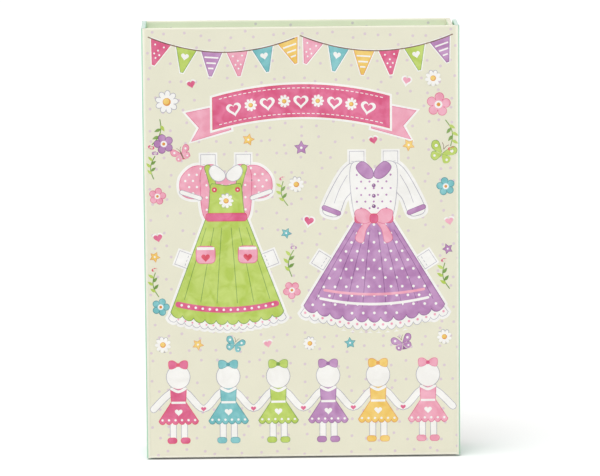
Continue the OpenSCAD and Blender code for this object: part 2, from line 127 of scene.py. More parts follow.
class PaperSettings(PropertyGroup):
    """Papers and cards of the case."""

    cream: ink_colour("Cream", "Ground of the cover paper", 233, 231, 209)
    # Pale cream is a painted highlight: the lighter band along the cover's edges where the rounded board edge
    # catches the light
    highlight_cream: ink_colour("Pale cream", "Rubbed cream paper along the edges", 244, 242, 227)
    # Worn cream is painted shade: darker paper on the upper edges, holding down the top faces that the key lamp
    # lights strongly
    shaded_top_cream: ink_colour("Worn cream", "Handled cream paper on the upper edges", 216, 213, 195)
    # Inner cream is painted light: a paler cream on the inner faces, lifting the shade and the green cast
    # inside the case
    inner_light_cream: ink_colour("Inner cream", "Unsoiled cream paper turned in behind the panels", 247, 239, 220)
    dot: ink_colour("Dot", "Small dots of the cover paper", 220, 201, 213)
    mint: ink_colour("Mint", "Paper of the spine, the flap and the linings", 169, 215, 185)
    pale_mint: ink_colour("Pale mint", "Pin dots of the linings", 214, 238, 222)
    # Worn mint is painted shade on the upper edges, like worn cream
    shaded_top_mint: ink_colour("Worn mint", "Handled mint paper on the upper edges", 194, 213, 204)
    # Green is the spine lining's colour set as dark as it shows in the shade inside the case, so partly painted
    # shade
    green: ink_colour("Green", "Lining of the spine", 86, 160, 76)
    tray: ink_colour("Tray", "Card of the tray and its dividers", 172, 213, 180)
    white: ink_colour("White", "Card of the sheets, the dolls and the platform", 247, 245, 240)
    board: ink_colour("Board", "Raw board inside the panels", 176, 168, 152)
    dot_d: length("Dot diameter", "Diameter of a printed dot", 0.0016)
    dot_pitch: length("Dot distance", "Mean distance between printed dots", 0.0086)
    pin_d: length("Pin dot diameter", "Diameter of a pin dot of the linings", 0.0011)
    pin_pitch: length("Pin dot distance", "Distance between pin dots of the linings", 0.0048)
    # The rubbed width is the width of the painted highlight along the cover's side edges
    highlight_w: length("Rubbed width", "Width of the pale rub along the cover's edges", 0.0018)


class FoldSettings(PropertyGroup):
    """Folded corners of the case."""

    paper_t: length("Paper", "Thickness of the folded paper", 0.00025)
    mint_w: length("Mint line", "Width of the mint line seen beside the cover", 0.0008)
    end_r: length("End rounding", "Rounding of the upper and lower ends", 0.0002)
    steps: IntProperty(name="Steps", description="Faces round a quarter of a fold", default=12, min=4, max=32)


class InkSettings(PropertyGroup):
    """Printing inks of the cover, the dolls and the clothes."""

    film: length("Film", "Height that each further print layer stands up", 0.000008)
    white: ink_colour("White", "Halos, frills and tabs", 250, 249, 245)
    grey: ink_colour("Grey", "Lines round white shapes", 178, 176, 188)
    pink: ink_colour("Pink", "Blouse, bows and blossoms", 243, 168, 190)
    rose: ink_colour("Rose", "Ribbon, sashes and hearts", 226, 98, 142)
    red: ink_colour("Red", "Coat, buttons and shoes", 222, 74, 96)
    lime: ink_colour("Lime", "Pinafore, dungarees and leaves", 190, 214, 96)
    moss: ink_colour("Moss", "Stems and lines on lime", 118, 158, 66)
    mauve: ink_colour("Mauve", "Skirt, dress and stars", 190, 138, 190)
    plum: ink_colour("Plum", "Lines on mauve", 140, 84, 146)
    teal: ink_colour("Teal", "Slip, bag and pennants", 122, 197, 201)
    sea: ink_colour("Sea", "Lines on teal", 66, 148, 156)
    sun: ink_colour("Sun", "Hat and flower middles", 246, 206, 102)
    amber: ink_colour("Amber", "Lines on yellow", 226, 150, 62)
    bark: ink_colour("Bark", "Cord and fine lines", 122, 88, 70)
    fair: ink_colour("Fair", "Fair doll", 248, 217, 193)
    tan: ink_colour("Tan", "Brown doll", 203, 149, 112)
    copper: ink_colour("Copper", "Bobbed hair", 196, 112, 58)
    cocoa: ink_colour("Cocoa", "Plaited hair", 96, 64, 50)
    blush: ink_colour("Blush", "Cheeks", 240, 160, 150)


class StageSettings(PropertyGroup):
    """Camera, lamp and floor."""

    camera: FloatVectorProperty(name="Camera", description="Place of the camera", subtype="TRANSLATION",
                                unit="LENGTH", size=3, default=(-0.0423, -2.4, 0.5222))
    tilt: angle("Tilt", "How far the camera looks down", 9.42)
    turn: angle("Turn", "How far the camera looks to the left", -0.99)
    roll: angle("Roll", "How far the camera is rolled", -0.47)
    lens: FloatProperty(name="Lens", description="Focal length in millimetres on a 36 mm frame", default=254.3)
    key: strength("Key", "Strength of the key lamp", 1.9)
    key_angle: angle("Key softness", "Apparent size of the key lamp", 40)
    key_turn: angle("Key turn", "How far the key lamp stands to the left of the front", 40)
    key_height: angle("Key height", "How high the key lamp stands", 74)
    sky: strength("Sky", "Strength of the even light from all round", 0.64)
    floor: length("Floor", "Side of the floor", 24.0)
    floor_drop: length("Floor drop", "How far the floor lies under the box", 0.0011)
    floor_glow: strength("Floor glow", "Light added to the floor for the camera alone", 0.06)


def settings(group):
    """One settings group of the scene."""
    return getattr(bpy.context.scene, group)


# Materials

def linear(colour):
    """Screen colour as the linear colour that shaders take, with alpha."""
    return tuple(c / 12.92 if c <= 0.04045 else ((c + 0.055) / 1.055) ** 2.4 for c in colour) + (1.0,)


def blended(colour, other, share):
    """Mix of two screen colours."""
    return tuple(a + (b - a) * share for a, b in zip(colour, other))


class Finish:
    """A new node material and short calls for its nodes."""

    def __init__(self, name):
        self.material = bpy.data.materials.new(name)
        self.material.use_nodes = True
        self.tree = self.material.node_tree
        self.shader = self.tree.nodes["Principled BSDF"]
        self.place = self.add("TexCoord").outputs["Object"]

    def add(self, kind, inputs=None, **choices):
        node = self.tree.nodes.new("ShaderNode" + kind)
        for name, value in choices.items():
            setattr(node, name, value)
        for key, value in (inputs or {}).items():
            if isinstance(value, bpy.types.NodeSocket):
                self.tree.links.new(value, node.inputs[key])
            else:
                node.inputs[key].default_value = value
        return node

    def math(self, operation, a, b=0.0):
        return self.add("Math", {0: a, 1: b}, operation=operation).outputs[0]

    def ramp(self, value, low, high, to_low=0.0, to_high=1.0):
        """Value brought smoothly from low..high to to_low..to_high, clamped."""
        inputs = {"Value": value, "From Min": low, "From Max": high, "To Min": to_low, "To Max": to_high}
        return self.add("MapRange", inputs, interpolation_type="SMOOTHSTEP").outputs[0]

    def noise(self, scale, detail=2.0, distortion=0.0):
        inputs = {"Vector": self.place, "Scale": scale, "Detail": detail, "Distortion": distortion}
        return self.add("TexNoise", inputs).outputs["Fac"]

    def mix(self, share, a, b):
        return self.add("Mix", {0: share, 6: a, 7: b}, data_type="RGBA").outputs[2]

    def shaded(self, colour, share):
        """Colour with its brightness scaled by a share socket."""
        inputs = {"Color": colour, "Value": share}
        return self.add("HueSaturation", inputs).outputs[0]

    def axes(self):
        return self.add("SeparateXYZ", {0: self.place}).outputs

    def surface(self, colour, roughness, bump_scale, bump, specular=0.35):
        """Wires colour, uneven roughness and a fine bump to the shader."""
        links = self.tree.links
        links.new(colour, self.shader.inputs["Base Color"])
        grain = self.noise(bump_scale, 4.0)
        links.new(self.ramp(self.noise(160.0, 3.0), 0.3, 0.7, roughness - 0.05, roughness + 0.07),
                  self.shader.inputs["Roughness"])
        raised = self.add("Bump", {"Strength": bump, "Distance": 0.0002, "Height": grain})
        links.new(raised.outputs[0], self.shader.inputs["Normal"])
        self.shader.inputs["Specular IOR Level"].default_value = specular
        return self.material


def dot_mask(finish, pitch, diameter, jitter, across):
    """Round printed dots on the plane of Z and the axis across, at the given pitch."""
    axes = finish.axes()
    aside = finish.math("MULTIPLY", axes[1 - across], 3.1)
    plane = finish.add("CombineXYZ", {0: finish.math("ADD", axes[across], aside), 1: axes[2]}).outputs[0]
    cells = finish.add("TexVoronoi", {"Vector": plane, "Scale": 1 / pitch, "Randomness": jitter},
                       voronoi_dimensions="2D")
    radius = diameter / 2 / pitch
    ragged = finish.math("ADD", cells.outputs["Distance"], finish.math("MULTIPLY", finish.noise(900.0), 0.03))
    return finish.ramp(ragged, radius + 0.04, radius - 0.008)


def fibre(finish, colour, depth):
    """Colour with the slight cloudiness and grain of paper."""
    cloud = finish.ramp(finish.noise(55.0, 5.0), 0.25, 0.75, 1 - depth, 1 + depth)
    grain = finish.ramp(finish.noise(2300.0, 2.0), 0.2, 0.8, 1 - depth, 1 + depth)
    return finish.shaded(finish.shaded(colour, cloud), grain)


def made_once(maker):
    """Keeps the material that a maker has built for the same arguments."""
    built = {}

    def fetch(*arguments):
        if arguments not in built:
            built[arguments] = maker(*arguments)
        return built[arguments]
    return fetch


# Where painted shade and painted highlights begin and are full, in metres: shade and highlight from the top,
# highlight from the foot, and either side of the side highlight's edge
SHADED_TOP = (0.0003, 0.0001)
HIGHLIGHT_TOP = (0.0012, 0.0005)
HIGHLIGHT_FOOT = (0.0016, 0.0008)
HIGHLIGHT_FADE = 0.0003


def near_top(finish, fade):
    """Share that rises to 1 towards the upper edges of the case."""
    return finish.ramp(finish.axes()[2], CASE_H * MM - fade[0], CASE_H * MM - fade[1])


@made_once
def dotted_cream(across):
    """Cream cover paper with small lilac dots across X (0) or Y (1), with an uneven painted highlight along the
    edges, painted shade on the upper edges and, across X, painted light on the inner faces.
    """
    paper = settings("doll_papers")
    finish = Finish("dotted_cream_" + "xy"[across])
    dots = dot_mask(finish, paper.dot_pitch, paper.dot_d, 0.62, across)
    axes = finish.axes()
    inner_y = CAD_BOX[1].y - PANEL_T * MM
    # Paler cream on the inner faces between the panels: painted light
    inner_light_mask = finish.ramp(finish.math("ABSOLUTE", axes[1]), inner_y * 1.0088, inner_y * 0.9991)
    ground = linear(paper.cream)
    if across == 0:
        ground = finish.mix(inner_light_mask, ground, linear(paper.inner_light_cream))
    colour = finish.mix(finish.math("MULTIPLY", dots, 0.85), ground, linear(paper.dot))
    # Pale band along the side edges, the foot and, weakly, the top: a painted highlight, made uneven by noise
    highlight_x = -CAD_BOX[0].x - paper.highlight_w
    side = finish.ramp(finish.math("ABSOLUTE", axes[0]), highlight_x - HIGHLIGHT_FADE, highlight_x + HIGHLIGHT_FADE)
    top = finish.math("MULTIPLY", near_top(finish, HIGHLIGHT_TOP), 0.3)
    foot = finish.ramp(axes[2], *HIGHLIGHT_FOOT)
    highlighted = finish.math("MAXIMUM", finish.math("MAXIMUM", side, foot), top)
    uneven = finish.math("MULTIPLY", highlighted, finish.ramp(finish.noise(260.0, 4.0), 0.2, 0.7, 0.55, 1.0))
    colour = finish.mix(uneven, colour, linear(paper.highlight_cream))
    # Darker paper on the upper edges: painted shade
    colour = finish.mix(near_top(finish, SHADED_TOP), colour, linear(paper.shaded_top_cream))
    return finish.surface(fibre(finish, colour, 0.014), 0.5, 2600.0, 0.12)


@made_once
def mint_paper(pins):
    """Mint paper, plain or with pale pin dots for the linings, with painted shade on the upper edges."""
    paper = settings("doll_papers")
    finish = Finish("mint_pin_dots" if pins else "mint_paper")
    colour = finish.mix(finish.ramp(finish.noise(40.0, 4.0), 0.3, 0.7), linear(paper.mint),
                        linear(blended(paper.mint, paper.pale_mint, 0.18)))
    if pins:
        dots = dot_mask(finish, paper.pin_pitch, paper.pin_d, 0.0, 0)
        colour = finish.mix(dots, colour, linear(paper.pale_mint))
    # Darker paper on the upper edges: painted shade
    colour = finish.mix(near_top(finish, SHADED_TOP), colour, linear(paper.shaded_top_mint))
    return finish.surface(fibre(finish, colour, 0.018), 0.5, 2600.0, 0.12)


@made_once
def plain_card(tint):
    """Uncoated card of one colour of the papers, with fibres."""
    paper = settings("doll_papers")
    ground = getattr(paper, tint)
    finish = Finish(tint + "_card")
    threads = finish.ramp(finish.noise(900.0, 6.0, 1.5), 0.35, 0.75)
    colour = finish.mix(threads, linear(ground), linear(blended(ground, (0.45, 0.42, 0.36), 0.07)))
    return finish.surface(fibre(finish, colour, 0.02), 0.72, 1700.0, 0.22, 0.2)


@made_once
def platform_card():
    """White card of the platform with faint printed pin dots."""
    paper = settings("doll_papers")
    finish = Finish("pin_dotted_card")
    dots = dot_mask(finish, paper.dot_pitch * 0.8, paper.dot_d * 0.75, 0.0, 0)
    colour = finish.mix(dots, linear(paper.white), linear(paper.dot))
    return finish.surface(fibre(finish, colour, 0.015), 0.68, 1700.0, 0.2, 0.22)


@made_once
def nickel():
    """Nickel skin of the magnets, finely brushed."""
    finish = Finish("nickel_skin")
    drawn_out = finish.add("Mapping", {0: finish.place, 3: (1, 1, 40)}).outputs[0]
    streaks = finish.add("TexNoise", {"Vector": drawn_out, "Scale": 300.0}).outputs["Fac"]
    colour = finish.mix(streaks, linear((0.72, 0.71, 0.69)), linear((0.84, 0.83, 0.8)))
    finish.shader.inputs["Metallic"].default_value = 1.0
    return finish.surface(colour, 0.28, 2000.0, 0.05, 0.5)


@made_once
def ink_wash(name):
    """One printing ink laid like a wash: pooled and thinned in clouds, with the paper's grain in it."""
    shade = tuple(getattr(settings("doll_inks"), name))
    finish = Finish("ink_" + name)
    pooled = finish.ramp(finish.noise(130.0, 5.0, 0.8), 0.28, 0.72)
    deep = tuple(c * c * 0.3 + c * 0.66 for c in shade)
    deep = blended(shade, deep, 0.55)
    colour = finish.mix(pooled, linear(deep), linear(blended(shade, (1.0, 1.0, 1.0), 0.16)))
    return finish.surface(fibre(finish, colour, 0.02), 0.52, 2600.0, 0.1)


# Outlines, in millimetres, as lists of points

def ring(x, y, rx, ry=None, steps=28):
    """Circle or ellipse."""
    ry = rx if ry is None else ry
    return [(x + rx * math.cos(TAU * i / steps), y + ry * math.sin(TAU * i / steps)) for i in range(steps)]


def moved(points, x, y, turn=0.0, size=1.0):
    """Outline scaled and turned about its origin, then moved."""
    c, s = size * math.cos(turn), size * math.sin(turn)
    return [(x + c * px - s * py, y + s * px + c * py) for px, py in points]


def mirrored(points):
    """Outline mirrored about its middle line, in the same sense of travel."""
    return [(-x, y) for x, y in reversed(points)]


def both_halves(points):
    """Closed outline from its right half, which runs down the right side from middle to middle."""
    return list(points) + [(-x, y) for x, y in reversed(points) if abs(x) > 1e-6]


def blossom(x, y, radius, petals, dip, turn=0.0):
    """Flower head with round petals."""
    steps = petals * 10
    points = []
    for i in range(steps):
        a = TAU * i / steps
        r = radius * (1 - dip + dip * abs(math.cos(petals * a / 2)) ** 0.6)
        points.append((r * math.cos(a), r * math.sin(a)))
    return moved(points, x, y, turn)


def star(x, y, radius, turn=0.0):
    """Star with its first tip up."""
    tips, inner = 5, 0.5
    points = []
    for i in range(2 * tips):
        r = radius if i % 2 == 0 else radius * inner
        a = TAU * i / (2 * tips) + math.pi / 2
        points.append((r * math.cos(a), r * math.sin(a)))
    return moved(points, x, y, turn)


def heart(x, y, size, turn=0.0):
    """Heart of the given width."""
    steps = 36
    points = []
    for i in range(steps):
        a = TAU * i / steps
        across = 16 * math.sin(a) ** 3
        along = 13 * math.cos(a) - 5 * math.cos(2 * a) - 2 * math.cos(3 * a) - math.cos(4 * a)
        points.append((-across * size / 32, along * size / 32))
    return moved(points, x, y, turn)


def leaf(x, y, length_mm, width, turn):
    """Leaf that starts at a place and points along turn."""
    steps = 8
    shares = [i / steps for i in range(steps + 1)]
    upper = [(length_mm * t, width / 2 * math.sin(math.pi * t ** 0.8)) for t in shares]
    lower = [(px, -py) for px, py in upper[-2:0:-1]]
    return moved(list(reversed(upper + lower)), x, y, turn)


def smooth(points, closed=True, steps=6):
    """Curve through the points."""
    count = len(points)
    made = []
    for i in range(count if closed else count - 1):
        if closed:
            p = [points[(i + k) % count] for k in (-1, 0, 1, 2)]
        else:
            p = [points[min(max(i + k, 0), count - 1)] for k in (-1, 0, 1, 2)]
        for j in range(steps):
            t = j / steps
            made.append(tuple(
                0.5 * (2 * b + (c - a) * t + (2 * a - 5 * b + 4 * c - d) * t * t
                       + (3 * b - a - 3 * c + d) * t ** 3)
                for a, b, c, d in zip(*p)
            ))
    if not closed:
        made.append(points[-1])
    return made


def curve(*points, steps=6):
    """Open curve through the points."""
    return smooth(points, closed=False, steps=steps)


def area(points):
    """Signed area; positive where the outline runs counter-clockwise."""
    return sum(a[0] * b[1] - b[0] * a[1] for a, b in zip(points, points[1:] + points[:1])) / 2


def grown(points, by):
    """Outline moved outwards by a margin, with blunted corners."""
    tiny, spike, bluntest = 1e-6, 0.3, 0.6
    points = list(points) if area(points) > 0 else list(reversed(points))
    made = []
    for before, here, after in zip(points[-1:] + points[:-1], points, points[1:] + points[:1]):
        one = Vector(here) - Vector(before)
        two = Vector(after) - Vector(here)
        if one.length < tiny or two.length < tiny:
            continue
        normal = Vector((one.y, -one.x)).normalized() + Vector((two.y, -two.x)).normalized()
        if normal.length < spike:
            normal = one.normalized() - two.normalized()
        reach = by / max(normal.length / 2, bluntest)
        out = Vector(here) + normal.normalized() * reach
        made.append((out.x, out.y))
    return made


def stroke(points, width):
    """Line of the given width along the points, with round ends."""
    half = width / 2
    left, right = [], []
    for i, here in enumerate(points):
        along = Vector(points[min(i + 1, len(points) - 1)]) - Vector(points[max(i - 1, 0)])
        side = Vector((-along.y, along.x)).normalized() * half
        left.append((here[0] + side.x, here[1] + side.y))
        right.append((here[0] - side.x, here[1] - side.y))
    caps = []
    for here, edge in ((points[-1], right[-1]), (points[0], left[0])):
        start = math.atan2(edge[1] - here[1], edge[0] - here[0])
        caps.append([(here[0] + half * math.cos(start + math.pi * k / 4),
                      here[1] + half * math.sin(start + math.pi * k / 4)) for k in (1, 2, 3)])
    return right + caps[0] + left[::-1] + caps[1]


def bar(x, y, w, h):
    """Upright rectangle about its middle."""
    return [(x - w / 2, y - h / 2), (x + w / 2, y - h / 2), (x + w / 2, y + h / 2), (x - w / 2, y + h / 2)]


def pillow(x, y, w, h, corner):
    """Rectangle with round corners about its middle."""
    points = []
    for i, (sx, sy) in enumerate(((1, -1), (1, 1), (-1, 1), (-1, -1))):
        for k in range(4):
            a = math.pi / 2 * (i - 1 + k / 3)
            points.append((x + sx * (w / 2 - corner) + corner * math.cos(a),
                           y + sy * (h / 2 - corner) + corner * math.sin(a)))
    return points


def scalloped(left, right, low, count, depth):
    """Scalloped lower edge from left to right."""
    points = []
    step = (right - left) / count
    start, parts = 0.5, 7
    side, rise = math.cos(start), math.sin(start)
    for i in range(count):
        for k in range(parts):
            a = start + (math.pi - 2 * start) * k / parts
            points.append((left + step * (i + 0.5) - step / 2 * math.cos(a) / side,
                           low - depth * (math.sin(a) - rise) / (1 - rise)))
    points.append((right, low))
    return points


def swung(points, high, low, half, sag):
    """Outline whose lower edge hangs deeper in the middle; nothing moves at the height high."""
    return [(x, y - sag * max(0.0, 1 - (x / half) ** 2) * max(0.0, (high - y) / (high - low)))
            for x, y in points]


def tapered(a, b, ra, rb):
    """Round-ended bar between two places with two radii."""
    start, end = Vector(a), Vector(b)
    along = math.atan2(end.y - start.y, end.x - start.x)
    lean = math.acos((ra - rb) / (end - start).length)
    points = []
    for centre, radius, begin, finish in ((start, ra, lean, TAU - lean), (end, rb, -lean, lean)):
        for k in range(9):
            angle = along + begin + (finish - begin) * k / 8
            points.append((centre.x + radius * math.cos(angle), centre.y + radius * math.sin(angle)))
    return points


# Modelling

def deselect():
    bpy.ops.object.select_all(action="DESELECT")


def dress(piece, *materials):
    """Gives a piece its materials."""
    piece.data.materials.clear()
    for material in materials:
        piece.data.materials.append(material)


def cut_card(outlines, thickness):
    """Flat piece cut along the outlines, standing up from Z 0 by its thickness, all in millimetres."""
    weld = 0.0005
    deselect()
    bpy.ops.curve.primitive_nurbs_circle_add(radius=1.0)
    piece = bpy.context.object
    shape = piece.data
    shape.splines.clear()
    for outline in outlines:
        spline = shape.splines.new("POLY")
        spline.points.add(len(outline) - 1)
        spline.points.foreach_set("co", [v for x, y in outline for v in (x, y, 0.0, 1.0)])
        spline.use_cyclic_u = True
        spline.use_smooth = False
    shape.dimensions = "2D"
    shape.fill_mode = "BOTH"
    shape.extrude = thickness / 2
    bpy.ops.object.convert(target="MESH")
    piece = bpy.context.object
    bpy.ops.object.mode_set(mode="EDIT")
    bpy.ops.mesh.select_all(action="SELECT")
    bpy.ops.mesh.remove_doubles(threshold=weld)
    bpy.ops.mesh.normals_make_consistent(inside=False)
    bpy.ops.object.mode_set(mode="OBJECT")
    if not piece.data.polygons:
        raise RuntimeError("an outline could not be filled")
    set_down(piece, Matrix.Translation((0, 0, thickness / 2)))
    return piece


def set_down(piece, place):
    """Moves a piece by a matrix and takes its place into its mesh."""
    deselect()
    piece.select_set(True)
    bpy.context.view_layer.objects.active = piece
    piece.matrix_world = place
    bpy.ops.object.transform_apply(location=True, rotation=True, scale=True)


def joined(pieces, name):
    """One piece out of several."""
    deselect()
    for piece in pieces:
        piece.select_set(True)
    bpy.context.view_layer.objects.active = pieces[0]
    if len(pieces) > 1:
        bpy.ops.object.join()
    pieces[0].name = name
    pieces[0].data.name = name
    return pieces[0]


def eased(piece, width, segments=2):
    """Bevels the sharp edges of a piece and smooths what is round."""
    sharp_from, round_under = math.radians(50), math.radians(40)
    deselect()
    piece.select_set(True)
    bpy.context.view_layer.objects.active = piece
    bevel = piece.modifiers.new("Eased", "BEVEL")
    bevel.width = width
    bevel.segments = segments
    bevel.limit_method = "ANGLE"
    bevel.angle_limit = sharp_from
    bpy.ops.object.modifier_apply(modifier=bevel.name)
    bpy.ops.object.shade_smooth_by_angle(angle=round_under)


class Print:
    """Printed shapes of one design, kept by print layer and ink until they are laid on a face.

    Shapes are drawn about the design's own place, at its own turn and size.
    """

    cut_rim = 0.8
    line_w = 0.35

    def __init__(self, x=0.0, y=0.0, size=1.0):
        self.layers = {}
        self.at(x, y, 0.0, size)

    def at(self, x, y, turn=0.0, size=1.0):
        """Sets where the next shapes are drawn."""
        self.place = (x, y, turn, size)

    def keep(self, layer, ink, outlines):
        """Shapes that are already in place."""
        self.layers.setdefault((layer, ink), []).extend(outlines)

    def add(self, layer, ink, *outlines):
        """Filled shapes."""
        self.keep(layer, ink, [moved(outline, *self.place) for outline in outlines])

    def pair(self, layer, ink, *outlines):
        """Filled shapes and their mirror images."""
        self.add(layer, ink, *outlines, *(mirrored(outline) for outline in outlines))

    def edged(self, layer, ink, *outlines, width=line_w, line=None):
        """Filled shapes, each with a darker line round it."""
        shapes = [moved(outline, *self.place) for outline in outlines]
        self.keep(layer, line or LINE_INKS[ink], [grown(shape, width) for shape in shapes])
        self.keep(layer + 1, ink, shapes)

    def edged_pair(self, layer, ink, *outlines, width=line_w):
        """Filled shapes with a darker line, and their mirror images."""
        self.edged(layer, ink, *outlines, *(mirrored(outline) for outline in outlines), width=width)

    def inset(self, layer, ink, *outlines):
        """Filled shapes with a darker line, kept inside the cut edge of a card."""
        self.add(layer, LINE_INKS[ink], *(grown(outline, -self.cut_rim) for outline in outlines))
        self.add(layer + 1, ink, *(grown(outline, -self.cut_rim - self.line_w) for outline in outlines))

    def inset_pair(self, layer, ink, outline):
        """Inset shape and its mirror image."""
        self.inset(layer, ink, outline, mirrored(outline))

    def lay(self, name, body, face_y, slot):
        """Lays all layers on a face that looks towards -Y at face_y, in millimetres, as one piece."""
        film = settings("doll_inks").film / MM
        upright = Matrix.Translation((0, face_y * MM, 0)) @ Matrix.Rotation(math.pi / 2, 4, "X") @ TO_METRES
        pieces = []
        for (layer, ink), outlines in sorted(self.layers.items()):
            piece = cut_card(outlines, film * (layer + 1))
            dress(piece, ink_wash(ink))
            set_down(piece, upright)
            pieces.append(piece)
        piece = joined(pieces, name)
        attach(piece, body)

    def lay_on_cover(self, name):
        """Lays all layers on the front of the cover."""
        self.lay(name, "cover", COVER_LOW.y, "printed_cream")


# Case

class DOLLBOX_OT_papers(Operator):
    """Give every board, wrap, lining and card of the packed part its paper"""

    bl_idname = "dollbox.papers"
    bl_label = "Papers"

    def execute(self, context):
        cream, cream_side = dotted_cream(0), dotted_cream(1)
        mint, pins = mint_paper(False), mint_paper(True)
        white, tray, board = plain_card("white"), plain_card("tray"), plain_card("board")
        finishes = {
            "cover_wrap": cream, "back_wrap": cream, "back_liner": cream,
            "closure_wrap": cream_side, "closure_liner": cream_side,
            "spine_wrap": mint, "spine_liner": plain_card("green"), "flap_wrap": mint, "flap_liner": mint,
            "cover_liner": pins, "tray": tray, "platform": platform_card(),
            "closure_magnets": nickel(), "flap_magnets": nickel(),
        }
        for name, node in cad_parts.items():
            if name.endswith("_divider"):
                finish = tray
            elif name.endswith("_board"):
                finish = board
            else:
                finish = finishes.get(name, white)
            dress(node, finish)
        return {"FINISHED"}


def fold_outline(x, y, out_x, out_y, reach, steps):
    """Corner of two panels about a fold axis: flat towards both panels, round outside.

    out_x and out_y say on which side of the axis the outer faces lie.
    """
    r = PANEL_T / 2
    quarter = [math.pi / 2 * i / steps for i in range(steps + 1)]
    points = [(-reach, 1)] + [(math.sin(a), math.cos(a)) for a in quarter] + [(1, -reach)]
    return [(x + out_x * r * px, y + out_y * r * py) for px, py in points]


# Share of half a panel's thickness past which a face of a fold counts as an outer one
OUTER_SHARE = 0.6


def split_fold(piece, y, out_y, edge_x, cream, mint):
    """Mint paper on a fold, apart from what faces the front or the back inside the mint line."""
    dress(piece, mint, cream)
    mint_w = settings("doll_folds").mint_w
    for face in piece.data.polygons:
        middle = face.center
        outside = out_y * (middle.y - y * MM) > OUTER_SHARE * PANEL_T / 2 * MM
        inside_line = abs(middle.x) < abs(edge_x) * MM - mint_w
        face.material_index = 1 if outside and inside_line else 0


class DOLLBOX_OT_moving_folds(Operator):
    """Model the creased paper at the cover and at the flap, where they turn"""

    bl_idname = "dollbox.moving_folds"
    bl_label = "Moving folds"

    core_gap = 0.02
    core_end_gap = 0.1

    def execute(self, context):
        self.fold("cover", "cover_crease", -1, "box", "cover")
        self.fold("flap", "flap_crease", 1, "flap", "cover")
        return {"FINISHED"}

    def fold(self, name, node, side, side_body, cover_body):
        """Fold between the cover and a side panel: a creased wrap round a core of turned-in paper."""
        folds = settings("doll_folds")
        axis = middle_mm(node)
        r = PANEL_T / 2
        reach = (abs(axis.x) - COVER_HIGH.x) / r
        bore = r - folds.paper_t / MM
        outer = fold_outline(axis.x, axis.y, side, -1, reach, folds.steps)
        inner = [(axis.x - side * r * reach * math.sin(a), axis.y + r * reach * math.cos(a))
                 for a in (math.pi / 2 * i / folds.steps for i in range(folds.steps + 1))]
        crease = cut_card([outer + inner, ring(axis.x, axis.y, bore, steps=4 * folds.steps)], CASE_H)
        set_down(crease, TO_METRES)
        crease.name = crease.data.name = name + "_fold"
        eased(crease, folds.end_r / 2)
        split_fold(crease, axis.y, -1, side * CAD_BOX[1].x / MM, dotted_cream(0), mint_paper(False))
        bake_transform(crease)
        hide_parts(node)
        core_ring = ring(axis.x, axis.y, bore - self.core_gap, steps=4 * folds.steps)
        core = cut_card([core_ring], CASE_H - 2 * self.core_end_gap)
        set_down(core, TO_METRES @ Matrix.Translation((0, 0, self.core_end_gap)))
        core.name = core.data.name = name + "_fold_core"
        eased(core, folds.end_r)
        dress(core, mint_paper(False))
        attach(core, "box" if name == "cover" else "cover")


class DOLLBOX_OT_fixed_folds(Operator):
    """Model the creased paper at the two corners of the back panel"""

    bl_idname = "dollbox.fixed_folds"
    bl_label = "Fixed folds"

    def execute(self, context):
        folds = settings("doll_folds")
        r = PANEL_T / 2
        cream = dotted_cream(0)
        for name, node, side in (("spine_fold", "spine_crease", -1), ("closure_fold", "closure_crease", 1)):
            axis = middle_mm(node)
            reach = (axis.y - box_mm("spine_wrap")[1].y) / r
            outline = fold_outline(axis.x, axis.y, side, 1, reach, folds.steps)
            inner = (axis.x - side * r * reach, axis.y - r * reach)
            piece = cut_card([outline + [inner]], CASE_H)
            set_down(piece, TO_METRES)
            piece.name = piece.data.name = name
            eased(piece, folds.end_r * 2, 3)
            side_paper = mint_paper(False) if side < 0 else cream
            split_fold(piece, axis.y, 1, axis.x + side * r, cream, side_paper)
            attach(piece, "box")
            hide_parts(node)
        return {"FINISHED"}


class DOLLBOX_OT_magnet_marks(Operator):
    """Model the low rounds that the magnets press into the paper over them"""

    bl_idname = "dollbox.magnet_marks"
    bl_label = "Magnet marks"

    rise = 0.07

    def execute(self, context):
        for body, node, face_node, way, finish in (
            ("flap", "flap_magnets", "flap_liner", -1, mint_paper(False)),
            ("box", "closure_magnets", "closure_wrap", 1, dotted_cream(1)),
        ):
            low, high = box_mm(node)
            face = box_mm(face_node)[0 if way < 0 else 1].x
            radius = (high.y - low.y) / 2
            turned = Matrix.Rotation(way * math.pi / 2, 4, "Y")
            rounds = []
            for z in (low.z + radius, high.z - radius):
                piece = cut_card([ring(0, 0, radius, steps=48)], self.rise)
                set_down(piece, TO_METRES @ Matrix.Translation((face, (low.y + high.y) / 2, z)) @ turned)
                rounds.append(piece)
            piece = joined(rounds, body + "_magnet_marks")
            eased(piece, self.rise * 0.9 * MM, 3)
            dress(piece, finish)
            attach(piece, body)
        return {"FINISHED"}


# Cover print

def daisy(art, x, y, size, layer, turn=0.0, line="grey"):
    """Daisy with a yellow middle."""
    art.edged(layer, "white", blossom(x, y, size, 9, 0.42, turn), line=line)
    art.add(layer + 2, "amber", ring(x, y, size * 0.36, steps=16))
    art.add(layer + 3, "sun", ring(x - size * 0.04, y + size * 0.05, size * 0.27, steps=16))


def posy(art, x, y, size, petal, layer, turn=0.0):
    """Five-petalled flower with a pale middle and stamen dots."""
    petals = 5
    art.edged(layer, petal, blossom(x, y, size, petals, 0.5, turn))
    art.add(layer + 2, "white", ring(x, y, size * 0.34, steps=16))
    for i in range(petals):
        a = turn + TAU * (i + 0.5) / petals
        out = size * 0.52
        stamen = ring(x + out * math.cos(a), y + out * math.sin(a), size * 0.06, steps=8)
        art.add(layer + 2, LINE_INKS[petal], stamen)
    art.add(layer + 3, "amber", ring(x, y, size * 0.17, steps=12))


